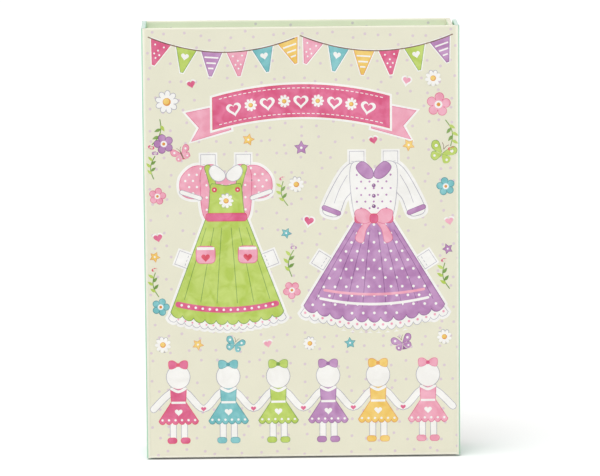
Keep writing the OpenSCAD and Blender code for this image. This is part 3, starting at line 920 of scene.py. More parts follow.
def sprig(art, x, y, length_mm, turn, berry):
    """Bent stem with paired leaves and berries at its tips."""
    bend = [(length_mm * t, length_mm * 0.16 * math.sin(math.pi * t)) for t in (0, 0.25, 0.5, 0.75, 1)]
    stem = moved(curve(*bend), x, y, turn)
    art.add(1, "moss", stroke(stem, 0.55))
    for share, side in ((0.22, 1), (0.36, -1), (0.52, 1), (0.66, -1), (0.8, 1)):
        px, py = stem[int(share * (len(stem) - 1))]
        art.add(2, "lime" if side > 0 else "moss",
                leaf(px, py, length_mm * 0.27, length_mm * 0.12, turn + side * 0.85))
    px, py = stem[-1]
    for a in (turn - 0.5, turn, turn + 0.5):
        art.add(3, berry, ring(px + 1.9 * math.cos(a), py + 1.9 * math.sin(a), 0.95, steps=14))


def butterfly(art, x, y, size, turn, wing):
    """Butterfly seen from above."""
    art.at(x, y, turn, size / 7)
    upper = smooth([(0.6, 0.5), (4.2, 5.4), (7.0, 4.6), (6.2, 1.2), (0.8, -0.4)])
    lower = smooth([(0.6, -0.6), (5.0, -0.6), (5.2, -3.6), (2.6, -4.8), (0.7, -2.2)])
    art.edged_pair(1, wing, upper, lower, width=0.3)
    art.pair(3, "white", ring(4.6, 3.0, 0.9, steps=12), ring(3.6, -2.6, 0.7, steps=12))
    art.add(4, "bark", ring(0, -0.4, 0.55, 3.4, steps=16))
    art.pair(4, "bark", stroke(curve((0.1, 2.6), (0.9, 4.6), (1.9, 5.6), steps=4), 0.28))


def within(outline, x, y):
    """Whether a place lies inside an outline."""
    inside = False
    for (ax, ay), (bx, by) in zip(outline, outline[1:] + outline[:1]):
        if (ay > y) != (by > y) and x < ax + (bx - ax) * (y - ay) / (by - ay):
            inside = not inside
    return inside


def spots(art, layer, ink, outline, pitch, radius, margin):
    """Offset rows of spots inside an outline, kept a margin off its edge."""
    bounds = grown(outline, -margin)
    xs, ys = zip(*bounds)
    row_pitch = 0.8 * pitch
    rows = int((max(ys) - min(ys)) / row_pitch) + 1
    columns = int((max(xs) - min(xs)) / pitch / 2) + 2
    middle = (max(xs) + min(xs)) / 2
    for row in range(rows):
        y = min(ys) + row_pitch * (row + 0.5)
        for column in range(-columns, columns + 1):
            x = middle + pitch * (column + 0.5 * (row % 2))
            if within(bounds, x, y):
                art.add(layer, ink, ring(x, y, radius, steps=10))


class DOLLBOX_OT_bunting(Operator):
    """Print the bunting along the top of the cover"""

    bl_idname = "dollbox.bunting"
    bl_label = "Bunting"

    inks = ("rose", "lime", "mauve", "pink", "teal", "sun")
    half, high, sag = 86.0, 243.0, 9.0

    def execute(self, context):
        art = Print()
        for left, first in ((-self.half, 0), (0.0, 3)):
            swag = [self.hung(left, i / 24) for i in range(25)]
            art.at(0.0, 0.0)
            art.add(4, "bark", stroke(swag[:-1] if left < 0 else swag, 0.6))
            flags = len(self.inks)
            for i in range(flags):
                t = (i + 0.5) / flags
                lean = math.atan2(-4 * self.sag * (1 - 2 * t), self.half)
                art.at(*self.hung(left, t), lean)
                self.flag(art, (i + first) % flags)
        art.lay_on_cover("cover_bunting")
        return {"FINISHED"}

    def hung(self, left, t):
        """Place at a share of a swag of the cord."""
        return left + self.half * t, self.high - 4 * self.sag * t * (1 - t)

    def flag(self, art, number):
        """One pennant that hangs from the cord."""
        shape = [(-5.6, 0.0), (-5.0, -1.6), (-0.6, -13.6), (0.6, -13.6), (5.0, -1.6), (5.6, 0.0)]
        art.add(0, "white", grown(shape, 0.9))
        art.edged(1, self.inks[number], shape, width=0.3)
        if number % 3 == 0:
            places = ((-2.6, -2.4), (2.6, -2.4), (0, -5.2), (0, -9.6), (-1.5, -7.4), (1.5, -7.4))
            art.add(3, "white", *(ring(x, y, 0.55, steps=10) for x, y in places))
        elif number % 3 == 1:
            art.add(3, "white", heart(0, -4.6, 4.4))
        else:
            art.add(3, "white", *(bar(0, y, w, 0.9) for y, w in ((-3.2, 7.8), (-6.4, 5.4), (-9.4, 3.0))))


class DOLLBOX_OT_ribbon(Operator):
    """Print the ribbon with hearts under the bunting"""

    bl_idname = "dollbox.ribbon"
    bl_label = "Ribbon"

    half, rise, middle, width = 50.0, 7.0, 199.0, 9.0
    pitch = 19.0
    stitches = 34

    def line(self, x):
        """Height of the ribbon's middle line."""
        return self.middle + self.rise * (1 - (x / self.half) ** 2)

    def slope(self, x):
        """Turn of the ribbon's middle line."""
        return math.atan(-2 * self.rise * x / self.half ** 2)

    def execute(self, context):
        art = Print()
        half, width = self.half, self.width
        xs = [-half + 2 * half * i / 24 for i in range(25)]
        band = [(x, self.line(x) - width) for x in xs] + [(x, self.line(x) + width) for x in reversed(xs)]
        tail = [(40, 190), (62, 183.5), (57.5, 191), (65, 199.5), (42, 204)]
        art.pair(0, "white", grown(tail, 1.6))
        art.edged_pair(1, "pink", tail)
        art.pair(3, "red", [(42.5, 190.2), (50, 190), (50, 196)])
        art.add(4, "white", grown(band, 1.6))
        art.edged(5, "rose", band)
        for edge in (-width + 1.7, width - 1.7):
            for i in range(self.stitches):
                x = -half + 3 + (2 * half - 6) * (i + 0.5) / self.stitches
                art.add(7, "white", moved(bar(0, 0, 1.7, 0.45), x, self.line(x) + edge, self.slope(x)))
        for i in range(-2, 3):
            x = i * self.pitch
            art.add(7, "white", heart(x, self.line(x) - 0.3, 8.6, self.slope(x)))
            art.add(8, "rose", heart(x, self.line(x) - 0.2, 5.2, self.slope(x)))
        for i in (-1.5, -0.5, 0.5, 1.5):
            daisy(art, i * self.pitch, self.line(i * self.pitch), 3.6, 7, line="pink")
        art.lay_on_cover("cover_ribbon")
        return {"FINISHED"}


def backed(art, lace, sleeve, blouse, skirt, tabs):
    """White halo, fold-over tabs and lace of a garment on the cover."""
    art.add(0, "white", grown(lace, 1.8))
    art.pair(1, "white", grown(sleeve, 2.0))
    art.add(2, "white", grown(blouse, 2.0))
    art.add(3, "white", grown(skirt, 1.8))
    w, h = 8, 7.5
    tab = bar(0, h / 2, w, h)
    for x, y, turn in tabs:
        art.pair(4, "white", moved(grown(tab, 1.3), x, y, turn))
        art.edged_pair(5, "white", moved(tab, x, y, turn), width=0.3)
        dashes = [bar(i * w * 0.3, h * 0.25, w * 0.17, 0.3) for i in (-1, 0, 1)]
        art.pair(7, "grey", *(moved(dash, x, y, turn) for dash in dashes))
    art.edged(8, "white", lace, width=0.3)


class DOLLBOX_OT_cover_pinafore(Operator):
    """Print the lime pinafore over its pink blouse, with fold-over tabs, on the cover"""

    bl_idname = "dollbox.cover_pinafore"
    bl_label = "Cover pinafore"

    def execute(self, context):
        art = Print(-43.0, 126.0)
        blouse = both_halves(curve((0, 37), (4.4, 38.5), (6.8, 43.5), (13, 42), (14.5, 32), (12, 13), (0, 12)))
        puff = smooth([(11.5, 41.5), (19, 42.5), (25.5, 36), (25, 27), (17, 24.5), (13, 29)])
        hang = (14, -41, 32, 5)
        skirt = swung([(-11, 14)] + scalloped(-32, 32, -41, 10, 2.2) + [(11, 14)], *hang)
        lace = swung([(-26, -30)] + scalloped(-33.5, 33.5, -44.5, 15, 1.8) + [(26, -30)], *hang)
        bib = both_halves(curve((0, 31.5), (6.5, 32.6), (8.6, 31.5), (9.4, 22), (10.4, 13.5)) + [(0, 13.5)])
        backed(art, lace, puff, blouse, skirt, ((10, 42, 0.0), (21, -12, -1.2)))
        art.add(10, "pink", *(ring(*swung([(x, -44)], *hang)[0], 0.6, steps=8) for x in range(-28, 29, 4)))
        art.edged_pair(8, "pink", puff)
        for shape in (puff, mirrored(puff)):
            spots(art, 10, "white", shape, 4.4, 0.7, 1.4)
        art.edged(10, "pink", blouse)
        art.edged_pair(11, "white", stroke([(14.8, 24.6), (25.2, 28.2)], 2.2), width=0.3)
        spots(art, 12, "white", blouse, 4.4, 0.7, 1.4)
        art.edged_pair(13, "lime", stroke(curve((7.0, 29.5), (8.4, 36), (10.2, 42)), 3.4))
        art.edged(13, "lime", skirt, width=0.4)
        art.edged(15, "lime", bib, width=0.4)
        for x in (5, 13, 21):
            pleat = swung([(x * 1.16, -32), (x * 0.9, -14), (x * 0.55, 8)], *hang)
            art.pair(15, "moss", stroke(curve(*pleat, steps=4), 0.35))
        hem = swung([(2.0 * k, -35.5) for k in range(-14, 15)], *hang)
        art.add(16, "rose", stroke(hem, 3.4))
        art.add(17, "white", *(ring(x, y, 0.75, steps=10) for x, y in hem[1:-1:2]))
        art.edged(17, "rose", pillow(0, 13.6, 23, 4.2, 1.4))
        art.edged_pair(17, "pink", pillow(12, -8, 10.5, 9.5, 2.4), width=0.4)
        art.pair(19, "white", bar(12, -4.4, 10, 1.6))
        art.pair(19, "red", heart(12, -9.6, 5.0))
        art.pair(17, "red", ring(6.6, 29.4, 1.5, steps=16))
        art.pair(18, "white", ring(6.6, 29.4, 0.45, steps=8))
        collar = smooth([(0.6, 36.2), (1.2, 39.6), (6.6, 43.4), (9.4, 40.4), (7.4, 35.8), (3.6, 34.4)])
        art.edged_pair(17, "white", collar)
        daisy(art, 0, 23, 4.2, 17)
        art.lay_on_cover("cover_pinafore")
        return {"FINISHED"}


class DOLLBOX_OT_cover_skirt(Operator):
    """Print the mauve skirt and white blouse with fold-over tabs on the cover"""

    bl_idname = "dollbox.cover_skirt"
    bl_label = "Cover skirt"

    def execute(self, context):
        art = Print(41.0, 124.0)
        blouse = both_halves(curve((0, 40.5), (4.2, 42), (6.5, 46.5), (12.5, 45),
                                   (13.2, 33), (9.8, 14), (0, 13)))
        sleeve = smooth([(11.5, 45), (17, 42.5), (24, 31), (29, 19),
                         (24.5, 15.5), (20, 16.5), (16.5, 25), (12.5, 31)])
        hang = (14, -36, 40, 7)
        lace_half, lace_scallops = 42, 17
        skirt = swung([(-9.5, 14)] + scalloped(-40, 40, -36, 11, 2.6) + [(9.5, 14)], *hang)
        lace = swung([(-30, -22)] + scalloped(-lace_half, lace_half, -40.5, lace_scallops, 2.2) + [(30, -22)],
                     *hang)
        backed(art, lace, sleeve, blouse, skirt, ((9.6, 45, 0.0), (27, -12, -1.0)))
        for k in range(-8, 9):
            dot = swung([(2 * lace_half / lace_scallops * k, -40)], *hang)[0]
            art.add(10, "pink", ring(*dot, 0.75, steps=10))
        art.edged_pair(8, "white", sleeve)
        art.edged(10, "white", blouse)
        spots(art, 12, "mauve", blouse, 4.8, 0.6, 1.8)
        art.edged_pair(10, "mauve", stroke([(20.2, 17.2), (28.2, 20.4)], 2.4), width=0.3)
        art.pair(10, "grey", stroke(curve((15, 39), (19.5, 31), (22.5, 23), steps=4), 0.3))
        art.edged(12, "mauve", skirt, width=0.4)
        spots(art, 14, "white", skirt, 6.4, 0.8, 2.6)
        for x in (6, 14, 22, 30):
            pleat = swung([(x * 1.12, -31), (x * 0.8, -12), (x * 0.38, 8)], *hang)
            art.pair(15, "plum", stroke(curve(*pleat, steps=4), 0.35))
        for rise, ink in ((-24.5, "pink"), (-29.5, "white")):
            half = 11 + (14 - rise) * 0.5
            art.add(16, ink, stroke(swung([(half * k / 16, rise) for k in range(-15, 16)], *hang), 1.5))
        art.edged(17, "rose", pillow(0, 14, 21.5, 4.8, 1.6))
        loop = smooth([(0.6, 0), (5, 5.2), (10.4, 4.2), (9.6, -1.0), (5, -2.8)])
        tail = smooth([(0.4, -0.6), (4.4, -6.2), (6.4, -13.6), (10.4, -11.8), (8, -5.8), (3.4, -1.0)])
        art.edged_pair(19, "pink", moved(tail, 0, 14), width=0.3)
        art.edged_pair(21, "pink", moved(loop, 0, 14), width=0.3)
        art.edged(23, "rose", pillow(0, 14, 4.4, 5.0, 1.8), width=0.3)
        collar = smooth([(0.4, 38.4), (1.4, 42.6), (6.2, 46.6), (9.8, 43.6), (7.0, 39.2), (3.2, 37)])
        art.edged_pair(15, "mauve", collar)
        for y in (33, 27, 21):
            art.add(15, "plum", ring(0, y, 1.1, steps=14))
            art.add(16, "white", ring(-0.3, y + 0.3, 0.3, steps=8))
        art.lay_on_cover("cover_skirt")
        return {"FINISHED"}


class DOLLBOX_OT_cover_chain(Operator):
    """Print the chain of cut paper dolls along the foot of the cover"""

    bl_idname = "dollbox.cover_chain"
    bl_label = "Cover chain"

    inks = ("rose", "teal", "lime", "mauve", "sun", "pink")
    step, foot = 28.6, 8.0

    def execute(self, context):
        art = Print(0.0, self.foot)
        step = self.step
        xs = [step * (i - (len(self.inks) - 1) / 2) for i in range(len(self.inks))]
        hands = []
        for x in xs:
            hands += [(x - step / 2, 20.5), (x - 4.2, 30), (x + 4.2, 30)]
        hands.append((xs[-1] + step / 2, 20.5))
        art.edged(1, "white", stroke(curve(*hands), 3.6))
        art.add(3, "rose", *(heart(x + step / 2, 20.4, 3.0) for x in xs[:-1]))
        for x, fill in zip(xs, self.inks):
            art.at(x, self.foot)
            self.doll(art, fill)
        art.lay_on_cover("cover_chain")
        return {"FINISHED"}

    def doll(self, art, fill):
        """One doll of the chain in its dress, with a bow and a bare face."""
        art.edged_pair(3, "white", stroke([(3.2, 3), (3.2, 14)], 3.2))
        art.edged_pair(5, fill, pillow(3.8, 2.0, 5.2, 3.2, 1.5), width=0.25)
        half, scallops = 11.2, 6
        hem = scalloped(-half, half, 13.4, scallops, 1.8)
        art.edged(7, fill, [(-4.4, 32.6), (-4.0, 24.5)] + hem + [(4.0, 24.5), (4.4, 32.6)])
        art.add(9, "white", bar(0, 24.2, 8.2, 1.3), heart(0, 18.6, 4.4))
        art.add(9, "white", *(ring(-half + 2 * half / scallops * (k + 0.5), 14.0, 0.7, steps=10)
                              for k in range(scallops)))
        art.edged(10, "white", ring(0, 39.2, 6.6, 6.9))
        art.edged(10, "white", stroke(curve((-4.0, 32.4), (0, 30.6), (4.0, 32.4)), 1.6), width=0.2)
        loop = smooth([(0.2, 0), (2.6, 2.3), (5.2, 1.9), (5.0, -1.9), (2.6, -1.9)])
        art.edged_pair(12, fill, moved(loop, 0, 46.2), width=0.25)
        art.add(14, LINE_INKS[fill], ring(0, 46.2, 1.1, steps=12))


class DOLLBOX_OT_cover_scatter(Operator):
    """Print the flowers, sprigs, butterflies, hearts and stars in between on the cover"""

    bl_idname = "dollbox.cover_scatter"
    bl_label = "Cover scatter"

    daisies = ((-76, 206, 6.4), (75, 218, 4.6), (-3, 158, 4.4), (81, 69, 4.2), (-80, 66, 4.6), (4, 66, 3.8))
    posies = ((78, 203, 6.6, "pink"), (-78, 182, 5.4, "mauve"), (-6, 97, 4.8, "pink"),
              (-81, 88, 4.8, "teal"), (82, 156, 5.0, "teal"), (-82, 152, 4.6, "pink"))
    sprigs = ((-80, 196, 15, 4.4, "rose"), (82, 194, 15, 4.9, "red"), (-8, 146, 14, 1.75, "rose"),
              (-6, 105, 15, 1.5, "mauve"), (-82, 94, 14, 1.7, "red"), (84, 97, 15, 1.75, "rose"),
              (-84, 162, 13, 1.5, "mauve"))
    hearts = ((-62, 216, 4.6, 0.25, "rose"), (60, 217, 4.4, -0.2, "pink"), (-82, 128, 5.0, 0.2, "rose"),
              (4, 137, 5.4, -0.2, "rose"), (84, 136, 4.6, 0.2, "pink"), (41, 183, 4.6, 0.2, "rose"),
              (-20, 66, 4.4, 0.2, "pink"))
    stars = ((-30, 184, 3.2, "sun"), (0, 179, 3.8, "mauve"), (61, 180, 3.2, "sun"), (-9, 130, 2.8, "teal"),
             (-84, 117, 2.8, "sun"), (83, 120, 2.8, "mauve"), (-60, 66, 3.0, "sun"), (27, 66, 3.0, "teal"))
    butterflies = ((-68, 176, 5.2, 0.4, "pink"), (80, 175, 7.2, -0.35, "lime"),
                   (57, 65.5, 5.6, 0.3, "mauve"), (-39, 65.5, 5.2, -0.3, "teal"))

    def execute(self, context):
        art = Print()
        for x, y, length_mm, turn, berry in self.sprigs:
            sprig(art, x, y, length_mm, turn, berry)
        for x, y, size in self.daisies:
            daisy(art, x, y, size, 4, x * 0.1)
        for x, y, size, petal in self.posies:
            posy(art, x, y, size, petal, 4, y * 0.1)
        for x, y, size, turn, ink in self.hearts:
            art.add(1, "white", grown(heart(x, y, size, turn), 0.9))
            art.add(2, ink, heart(x, y, size, turn))
        for x, y, size, ink in self.stars:
            art.edged(1, ink, star(x, y, size, turn=x * 0.05), width=0.3)
            art.add(3, "white", ring(x, y, size * 0.2, steps=10))
        for design in self.butterflies:
            butterfly(art, *design)
        art.lay_on_cover("cover_scatter")
        return {"FINISHED"}


# Dolls and clothes

class DollPrint(Print):
    """Print of one card doll, drawn in shares of the doll's height above its lower edge."""

    crown_share = 0.978
    rim_mm = 1.0
    slot_clear_mm = 1.3
    slot_depth_mm = 7.5

    def __init__(self, node, skin, hair, slip, trim, shoe):
        self.skin, self.hair, self.slip, self.trim, self.shoe = skin, hair, slip, trim, shoe
        low, high = box_mm("doll_bob")
        self.h = (high.z - low.z) / self.crown_share
        self.rim = self.rim_mm / self.h
        self.low = box_mm(node)[0]
        super().__init__(middle_mm(node).x, self.low.z, self.h)

    def figure(self):
        """Arms, legs, slip, socks and shoes over the foot strip."""
        rim = self.rim
        self.pair(4, self.skin, tapered((0.076, 0.672), (0.13, 0.44), 0.024 - rim, 0.018 - rim),
                  tapered((0.043, 0.42), (0.05, 0.085), 0.037 - rim, 0.021 - rim))
        self.add(4, self.skin, bar(0, 0.71, 0.048 - 2 * rim, 0.1))
        slip = both_halves([(0, 0.706), (0.03, 0.706), (0.088, 0.694), (0.06, 0.54), (0.098, 0.37), (0, 0.37)])
        slip = grown(slip, -rim)
        self.add(5, self.trim, slip)
        self.add(6, self.slip, grown(slip, -0.0035))
        neck = [(-0.036, 0.703), (-0.022, 0.672), (0, 0.662), (0.022, 0.672), (0.036, 0.703)]
        self.add(7, self.skin, smooth(neck))
        self.add(7, self.trim, bar(0, 0.545, 0.108, 0.014))
        self.add(8, "white", ring(0, 0.545, 0.0115, 0.0095))
        self.add(9, self.slip, ring(0, 0.545, 0.0065, 0.0052))
        self.add(7, "white", bar(0, 0.392, 0.17, 0.006))
        self.add(7, self.trim, *(heart(0.034 * k, 0.412, 0.02) for k in (-2, -1, 0, 1, 2)))
        self.add(8, self.trim, heart(0, 0.645, 0.026))
        self.add(7, self.trim, *(ring(0, z, 0.004, steps=8) for z in (0.5, 0.445, 0.575)))
        beside = ((0.03, 0.47), (0.05, 0.445), (0.03, 0.6))
        self.pair(7, self.trim, *(ring(x, z, 0.004, steps=8) for x, z in beside))
        self.pair(5, "white", pillow(0.049, 0.104, 0.026, 0.03, 0.006))
        self.pair(6, self.trim, bar(0.049, 0.108, 0.026, 0.006))
        self.foot_strip()
        shoe = [(0.03, 0.094), (0.028, 0.058), (0.05, 0.046), (0.084, 0.05), (0.078, 0.072), (0.066, 0.092)]
        self.pair(8, self.shoe, smooth(shoe))
        self.pair(9, "white", stroke([(0.03, 0.082), (0.07, 0.078)], 0.007))
        self.pair(10, self.trim, ring(0.066, 0.078, 0.005, steps=10))

    def foot_strip(self):
        """Grass on the foot strip, left clear round the two slots."""
        half, top, low = 0.275 / 2 - self.rim, 0.09 - self.rim, self.rim
        slot, clear, deep = 0.165 / 2, self.slot_clear_mm / self.h, self.slot_depth_mm / self.h
        blades, blade = 22, 0.012
        near, far = slot - clear, slot + clear
        foot = [(near, low), (near, deep), (far, deep), (far, low), (half, low)]
        grass = mirrored(foot) + foot + [(half, top - blade)]
        for i in range(blades):
            grass.append((half - 2 * half * (i + 0.5) / blades, top - (0.0 if i % 2 else blade)))
        grass.append((-half, top - blade))
        self.add(5, "lime", grass)
        for x, z in ((-0.11, 0.06), (0.11, 0.058), (0, 0.04), (-0.05, 0.025),
                     (0.055, 0.02), (-0.115, 0.026), (0.118, 0.024)):
            self.add(6, "white", blossom(x, z, 0.009, 5, 0.5))
            self.add(7, "sun", ring(x, z, 0.0036, steps=8))

    def face(self):
        """Plain printed face with dot eyes and a smile."""
        self.add(6, "blush", ring(0, 0.8325, 0.0885, 0.0865, steps=40))
        self.add(7, self.skin, ring(0, 0.834, 0.0865, 0.0845, steps=40))
        self.pair(8, "blush", ring(0.053, 0.803, 0.0155, 0.012))
        self.pair(9, "cocoa", ring(0.034, 0.828, 0.0085, 0.0115))
        self.pair(10, "white", ring(0.0365, 0.8325, 0.0032, steps=10))
        self.pair(9, self.hair, stroke(curve((0.022, 0.853), (0.035, 0.859), (0.048, 0.853)), 0.0038))
        self.add(9, "red", stroke(curve((-0.019, 0.793), (0, 0.7835), (0.019, 0.793)), 0.0052))
        self.add(9, "blush", ring(0, 0.811, 0.005, 0.0038, steps=12))

    def bob(self):
        """Bobbed hair with a fringe and a band."""
        rim = self.rim
        self.add(0, self.hair, ring(0, 0.857, 0.121 - rim, steps=48))
        self.pair(1, self.hair, tapered((0.093, 0.85), (0.1, 0.765), 0.032 - rim, 0.024 - rim))
        fringe = [(-0.097, 0.842), (-0.092, 0.915), (-0.05, 0.955), (0, 0.964), (0.05, 0.955), (0.092, 0.915),
                  (0.097, 0.842), (0.078, 0.873), (0.05, 0.868), (0.024, 0.88), (-0.012, 0.868),
                  (-0.044, 0.882), (-0.078, 0.868)]
        self.add(11, self.hair, smooth(fringe))
        for x in (0.02, 0.06):
            strand = curve((x, 0.955 - x * 0.35), (x * 1.1, 0.92), (x * 1.18, 0.888))
            self.pair(12, "cocoa", stroke(strand, 0.003))
        self.band("teal")

    def band(self, ink):
        """Hair band with a bow."""
        line = LINE_INKS[ink]
        arc = curve((-0.098, 0.9), (-0.06, 0.94), (0, 0.954), (0.06, 0.94), (0.098, 0.9))
        self.add(13, ink, stroke(arc, 0.0135))
        knot = (0.062, 0.936)
        loop = smooth([(0.0, 0.0), (0.016, 0.015), (0.035, 0.013), (0.035, -0.013), (0.016, -0.013)])
        for shape in (loop, mirrored(loop)):
            self.add(14, line, moved(grown(shape, 0.0025), *knot, -0.55))
            self.add(15, ink, moved(shape, *knot, -0.55))
        self.add(16, line, ring(*knot, 0.0075, steps=14))

    def plaits(self):
        """Parted hair with two tied plaits."""
        rim = self.rim
        self.add(0, self.hair, ring(0, 0.857, 0.115 - rim, steps=48))
        for i in range(4):
            bulge = ring(0.122 + 0.006 * i, 0.8 - 0.041 * i, 0.031 - 0.0035 * i - rim, steps=24)
            self.pair(1 + i % 2, self.hair, bulge)
            if i:
                x, z = 0.122 + 0.006 * (i - 0.5), 0.8 - 0.041 * (i - 0.5)
                half, dip = 0.0155 - 0.0025 * i, 0.004
                self.pair(3, "bark", stroke([(x - half, z + dip), (x, z - dip), (x + half, z + dip)], 0.004))
        parted = [(0.002, 0.958), (0.05, 0.953), (0.088, 0.915), (0.094, 0.842),
                  (0.072, 0.878), (0.034, 0.905), (0.003, 0.92)]
        self.pair(11, self.hair, smooth(parted))
        for x in (0.03, 0.058):
            self.pair(12, "bark", stroke(curve((x * 0.7, 0.946), (x, 0.925), (x * 1.35, 0.893)), 0.003))
        loop = smooth([(0.0, 0.0), (0.012, 0.012), (0.027, 0.011), (0.027, -0.011), (0.012, -0.011)])
        self.pair(13, "rose", *(moved(shape, 0.116, 0.828, -0.3) for shape in (loop, mirrored(loop))))
        self.pair(14, "red", ring(0.116, 0.828, 0.0065, steps=12))


class DOLLBOX_OT_doll_prints(Operator):
    """Print the two card dolls in their slips"""

    bl_idname = "dollbox.doll_prints"
    bl_label = "Doll prints"

    def execute(self, context):
        for node, hairdo, inks in (
            ("doll_bob", DollPrint.bob, ("fair", "copper", "pink", "rose", "red")),
            ("doll_plaits", DollPrint.plaits, ("tan", "cocoa", "teal", "sea", "plum")),
        ):
            doll = DollPrint(node, *inks)
            doll.figure()
            doll.face()
            hairdo(doll)
            doll.lay(node + "_print", "box", doll.low.y, "doll_card")
        return {"FINISHED"}


def print_cloth(node, x, z, design):
    """Draws one press-out piece about its middle line and lowest line, and lays the print on it."""
    cloth = Print(x, z)
    design(cloth)
    cloth.lay(node + "_print", "box", box_mm(node)[0].y, "clothes_card")


class PressOut:
    """Press-out pieces that share one width and height, in millimetres."""

    def sized(self, *shares):
        """Outline from shares of the width and the height."""
        return [(x * self.w, z * self.h) for x, z in shares]


class DOLLBOX_OT_garment_prints(PressOut, Operator):
    """Print the dress, the coat and the dungarees of the press-out sheet"""

    bl_idname = "dollbox.garment_prints"
    bl_label = "Garment prints"

    w, h = 46.0, 54.0

    def execute(self, context):
        low, high = box_mm("outfit_sheet")
        designs = (("dungarees", self.dungarees), ("coat", self.coat), ("dress", self.frock))
        pitch = (high.z - low.z) / len(designs)
        for i, (node, design) in enumerate(designs):
            print_cloth(node, (low.x + high.x) / 2, low.z + (i + 0.5) * pitch - self.h / 2, design)
        return {"FINISHED"}

    def frock(self, cloth):
        w, h = self.w, self.h
        cloth.inset_pair(0, "pink", ring(0.29 * w, 0.82 * h, 0.11 * w, steps=28))
        neck_r, scallops, half = 0.13 * w, 7, 0.44 * w
        neck = [(neck_r * math.sin(a), 0.9 * h - neck_r * math.cos(a)) for a in (0, 0.3, 0.6, 0.9, 1.2, 1.5)]
        upper = neck + self.sized((0.24, 0.9), (0.2, 0.56), (0.44, 0.12))
        body = both_halves(upper + [(0, 0.12 * h)])
        hem = scalloped(-half, half, 0.12 * h, scallops, 0.063 * w)
        side = list(reversed(upper[1:-1]))
        cloth.inset(2, "mauve", hem + side + [neck[0]] + mirrored(side))
        spots(cloth, 4, "white", grown(body, -2.0), 4.6, 0.65, 1.6)
        middles = [2 * half / scallops * (k - 3) for k in range(scallops)]
        cloth.add(5, "white", *(ring(x, 0.1 * h, 1.7, steps=16) for x in middles))
        cloth.add(6, "rose", *(ring(x, 0.1 * h, 0.9, steps=12) for x in middles))
        cloth.add(5, "rose", bar(0, 0.56 * h, 0.4 * w - 2 * cloth.cut_rim, 2.6))
        loop = smooth([(0, 0), (2.6, 2.4), (5.6, 2.0), (5.6, -2.0), (2.6, -2.2)])
        cloth.pair(6, "pink", moved(loop, 0, 0.56 * h))
        cloth.add(7, "red", ring(0, 0.56 * h, 1.2, steps=14))
        cloth.pair(7, "grey", *(bar(0.18 * w + 1.7 * k, 0.9 * h + 0.3, 1.0, 0.25) for k in (-1, 0, 1)))

    def coat(self, cloth):
        w, h = self.w, self.h
        arm = tapered((0.23 * w, 0.8 * h), (0.41 * w, 0.42 * h), 0.08 * w, 0.065 * w)
        cloth.inset_pair(0, "red", arm)
        body = both_halves(self.sized((0, 0.88), (0.25, 0.88), (0.22, 0.5), (0.36, 0.03), (0, 0.03)))
        cloth.inset(2, "red", body)
        cloth.add(4, "plum", stroke([(1.2, 0.8 * h), (1.2, 0.05 * h)], 0.4))
        cloth.add(5, "sun", *(ring(-0.2, z * h, 1.1, steps=14) for z in (0.7, 0.56, 0.42, 0.28)))
        cloth.inset_pair(6, "pink", ring(0.09 * w, 0.88 * h, 0.095 * w, steps=24))
        cloth.pair(4, "rose", pillow(0.16 * w, 0.24 * h, 7.0, 6.4, 1.2))
        cloth.pair(5, "white", heart(0.16 * w, 0.235 * h, 3.4))
        cloth.pair(5, "pink", stroke(self.sized((0.375, 0.44), (0.435, 0.475)), 1.6))
        cloth.add(5, "pink", bar(0, 0.055 * h, 0.64 * w, 1.2))

    def dungarees(self, cloth):
        w, h = self.w, self.h
        leg = self.sized((0.06, 0.03), (0.31, 0.03), (0.27, 0.52), (0.025, 0.5))
        cloth.inset_pair(0, "lime", leg)
        bib = both_halves(self.sized((0, 0.88), (0.16, 0.88), (0.16, 0.66),
                                     (0.25, 0.6), (0.27, 0.46), (0, 0.5)))
        cloth.inset(2, "lime", bib)
        cloth.inset_pair(4, "moss", self.sized((0.09, 0.84), (0.15, 0.84), (0.17, 0.97), (0.11, 0.97)))
        cloth.pair(6, "sun", ring(0.115 * w, 0.84 * h, 1.1, steps=14))
        cloth.add(4, "moss", bar(0, 0.6 * h, 0.42 * w, 0.5))
        cloth.add(4, "sun", pillow(0, 0.73 * h, 8.6, 6.6, 1.4))
        cloth.add(5, "rose", heart(0, 0.725 * h, 4.0))
        cloth.pair(4, "teal", pillow(0.175 * w, 0.3 * h, 5.6, 5.0, 0.8))
        cloth.pair(5, "white", star(0.175 * w, 0.3 * h, 1.9))
        cloth.pair(4, "white", bar(0.185 * w, 0.07 * h, 0.2 * w, 1.8))


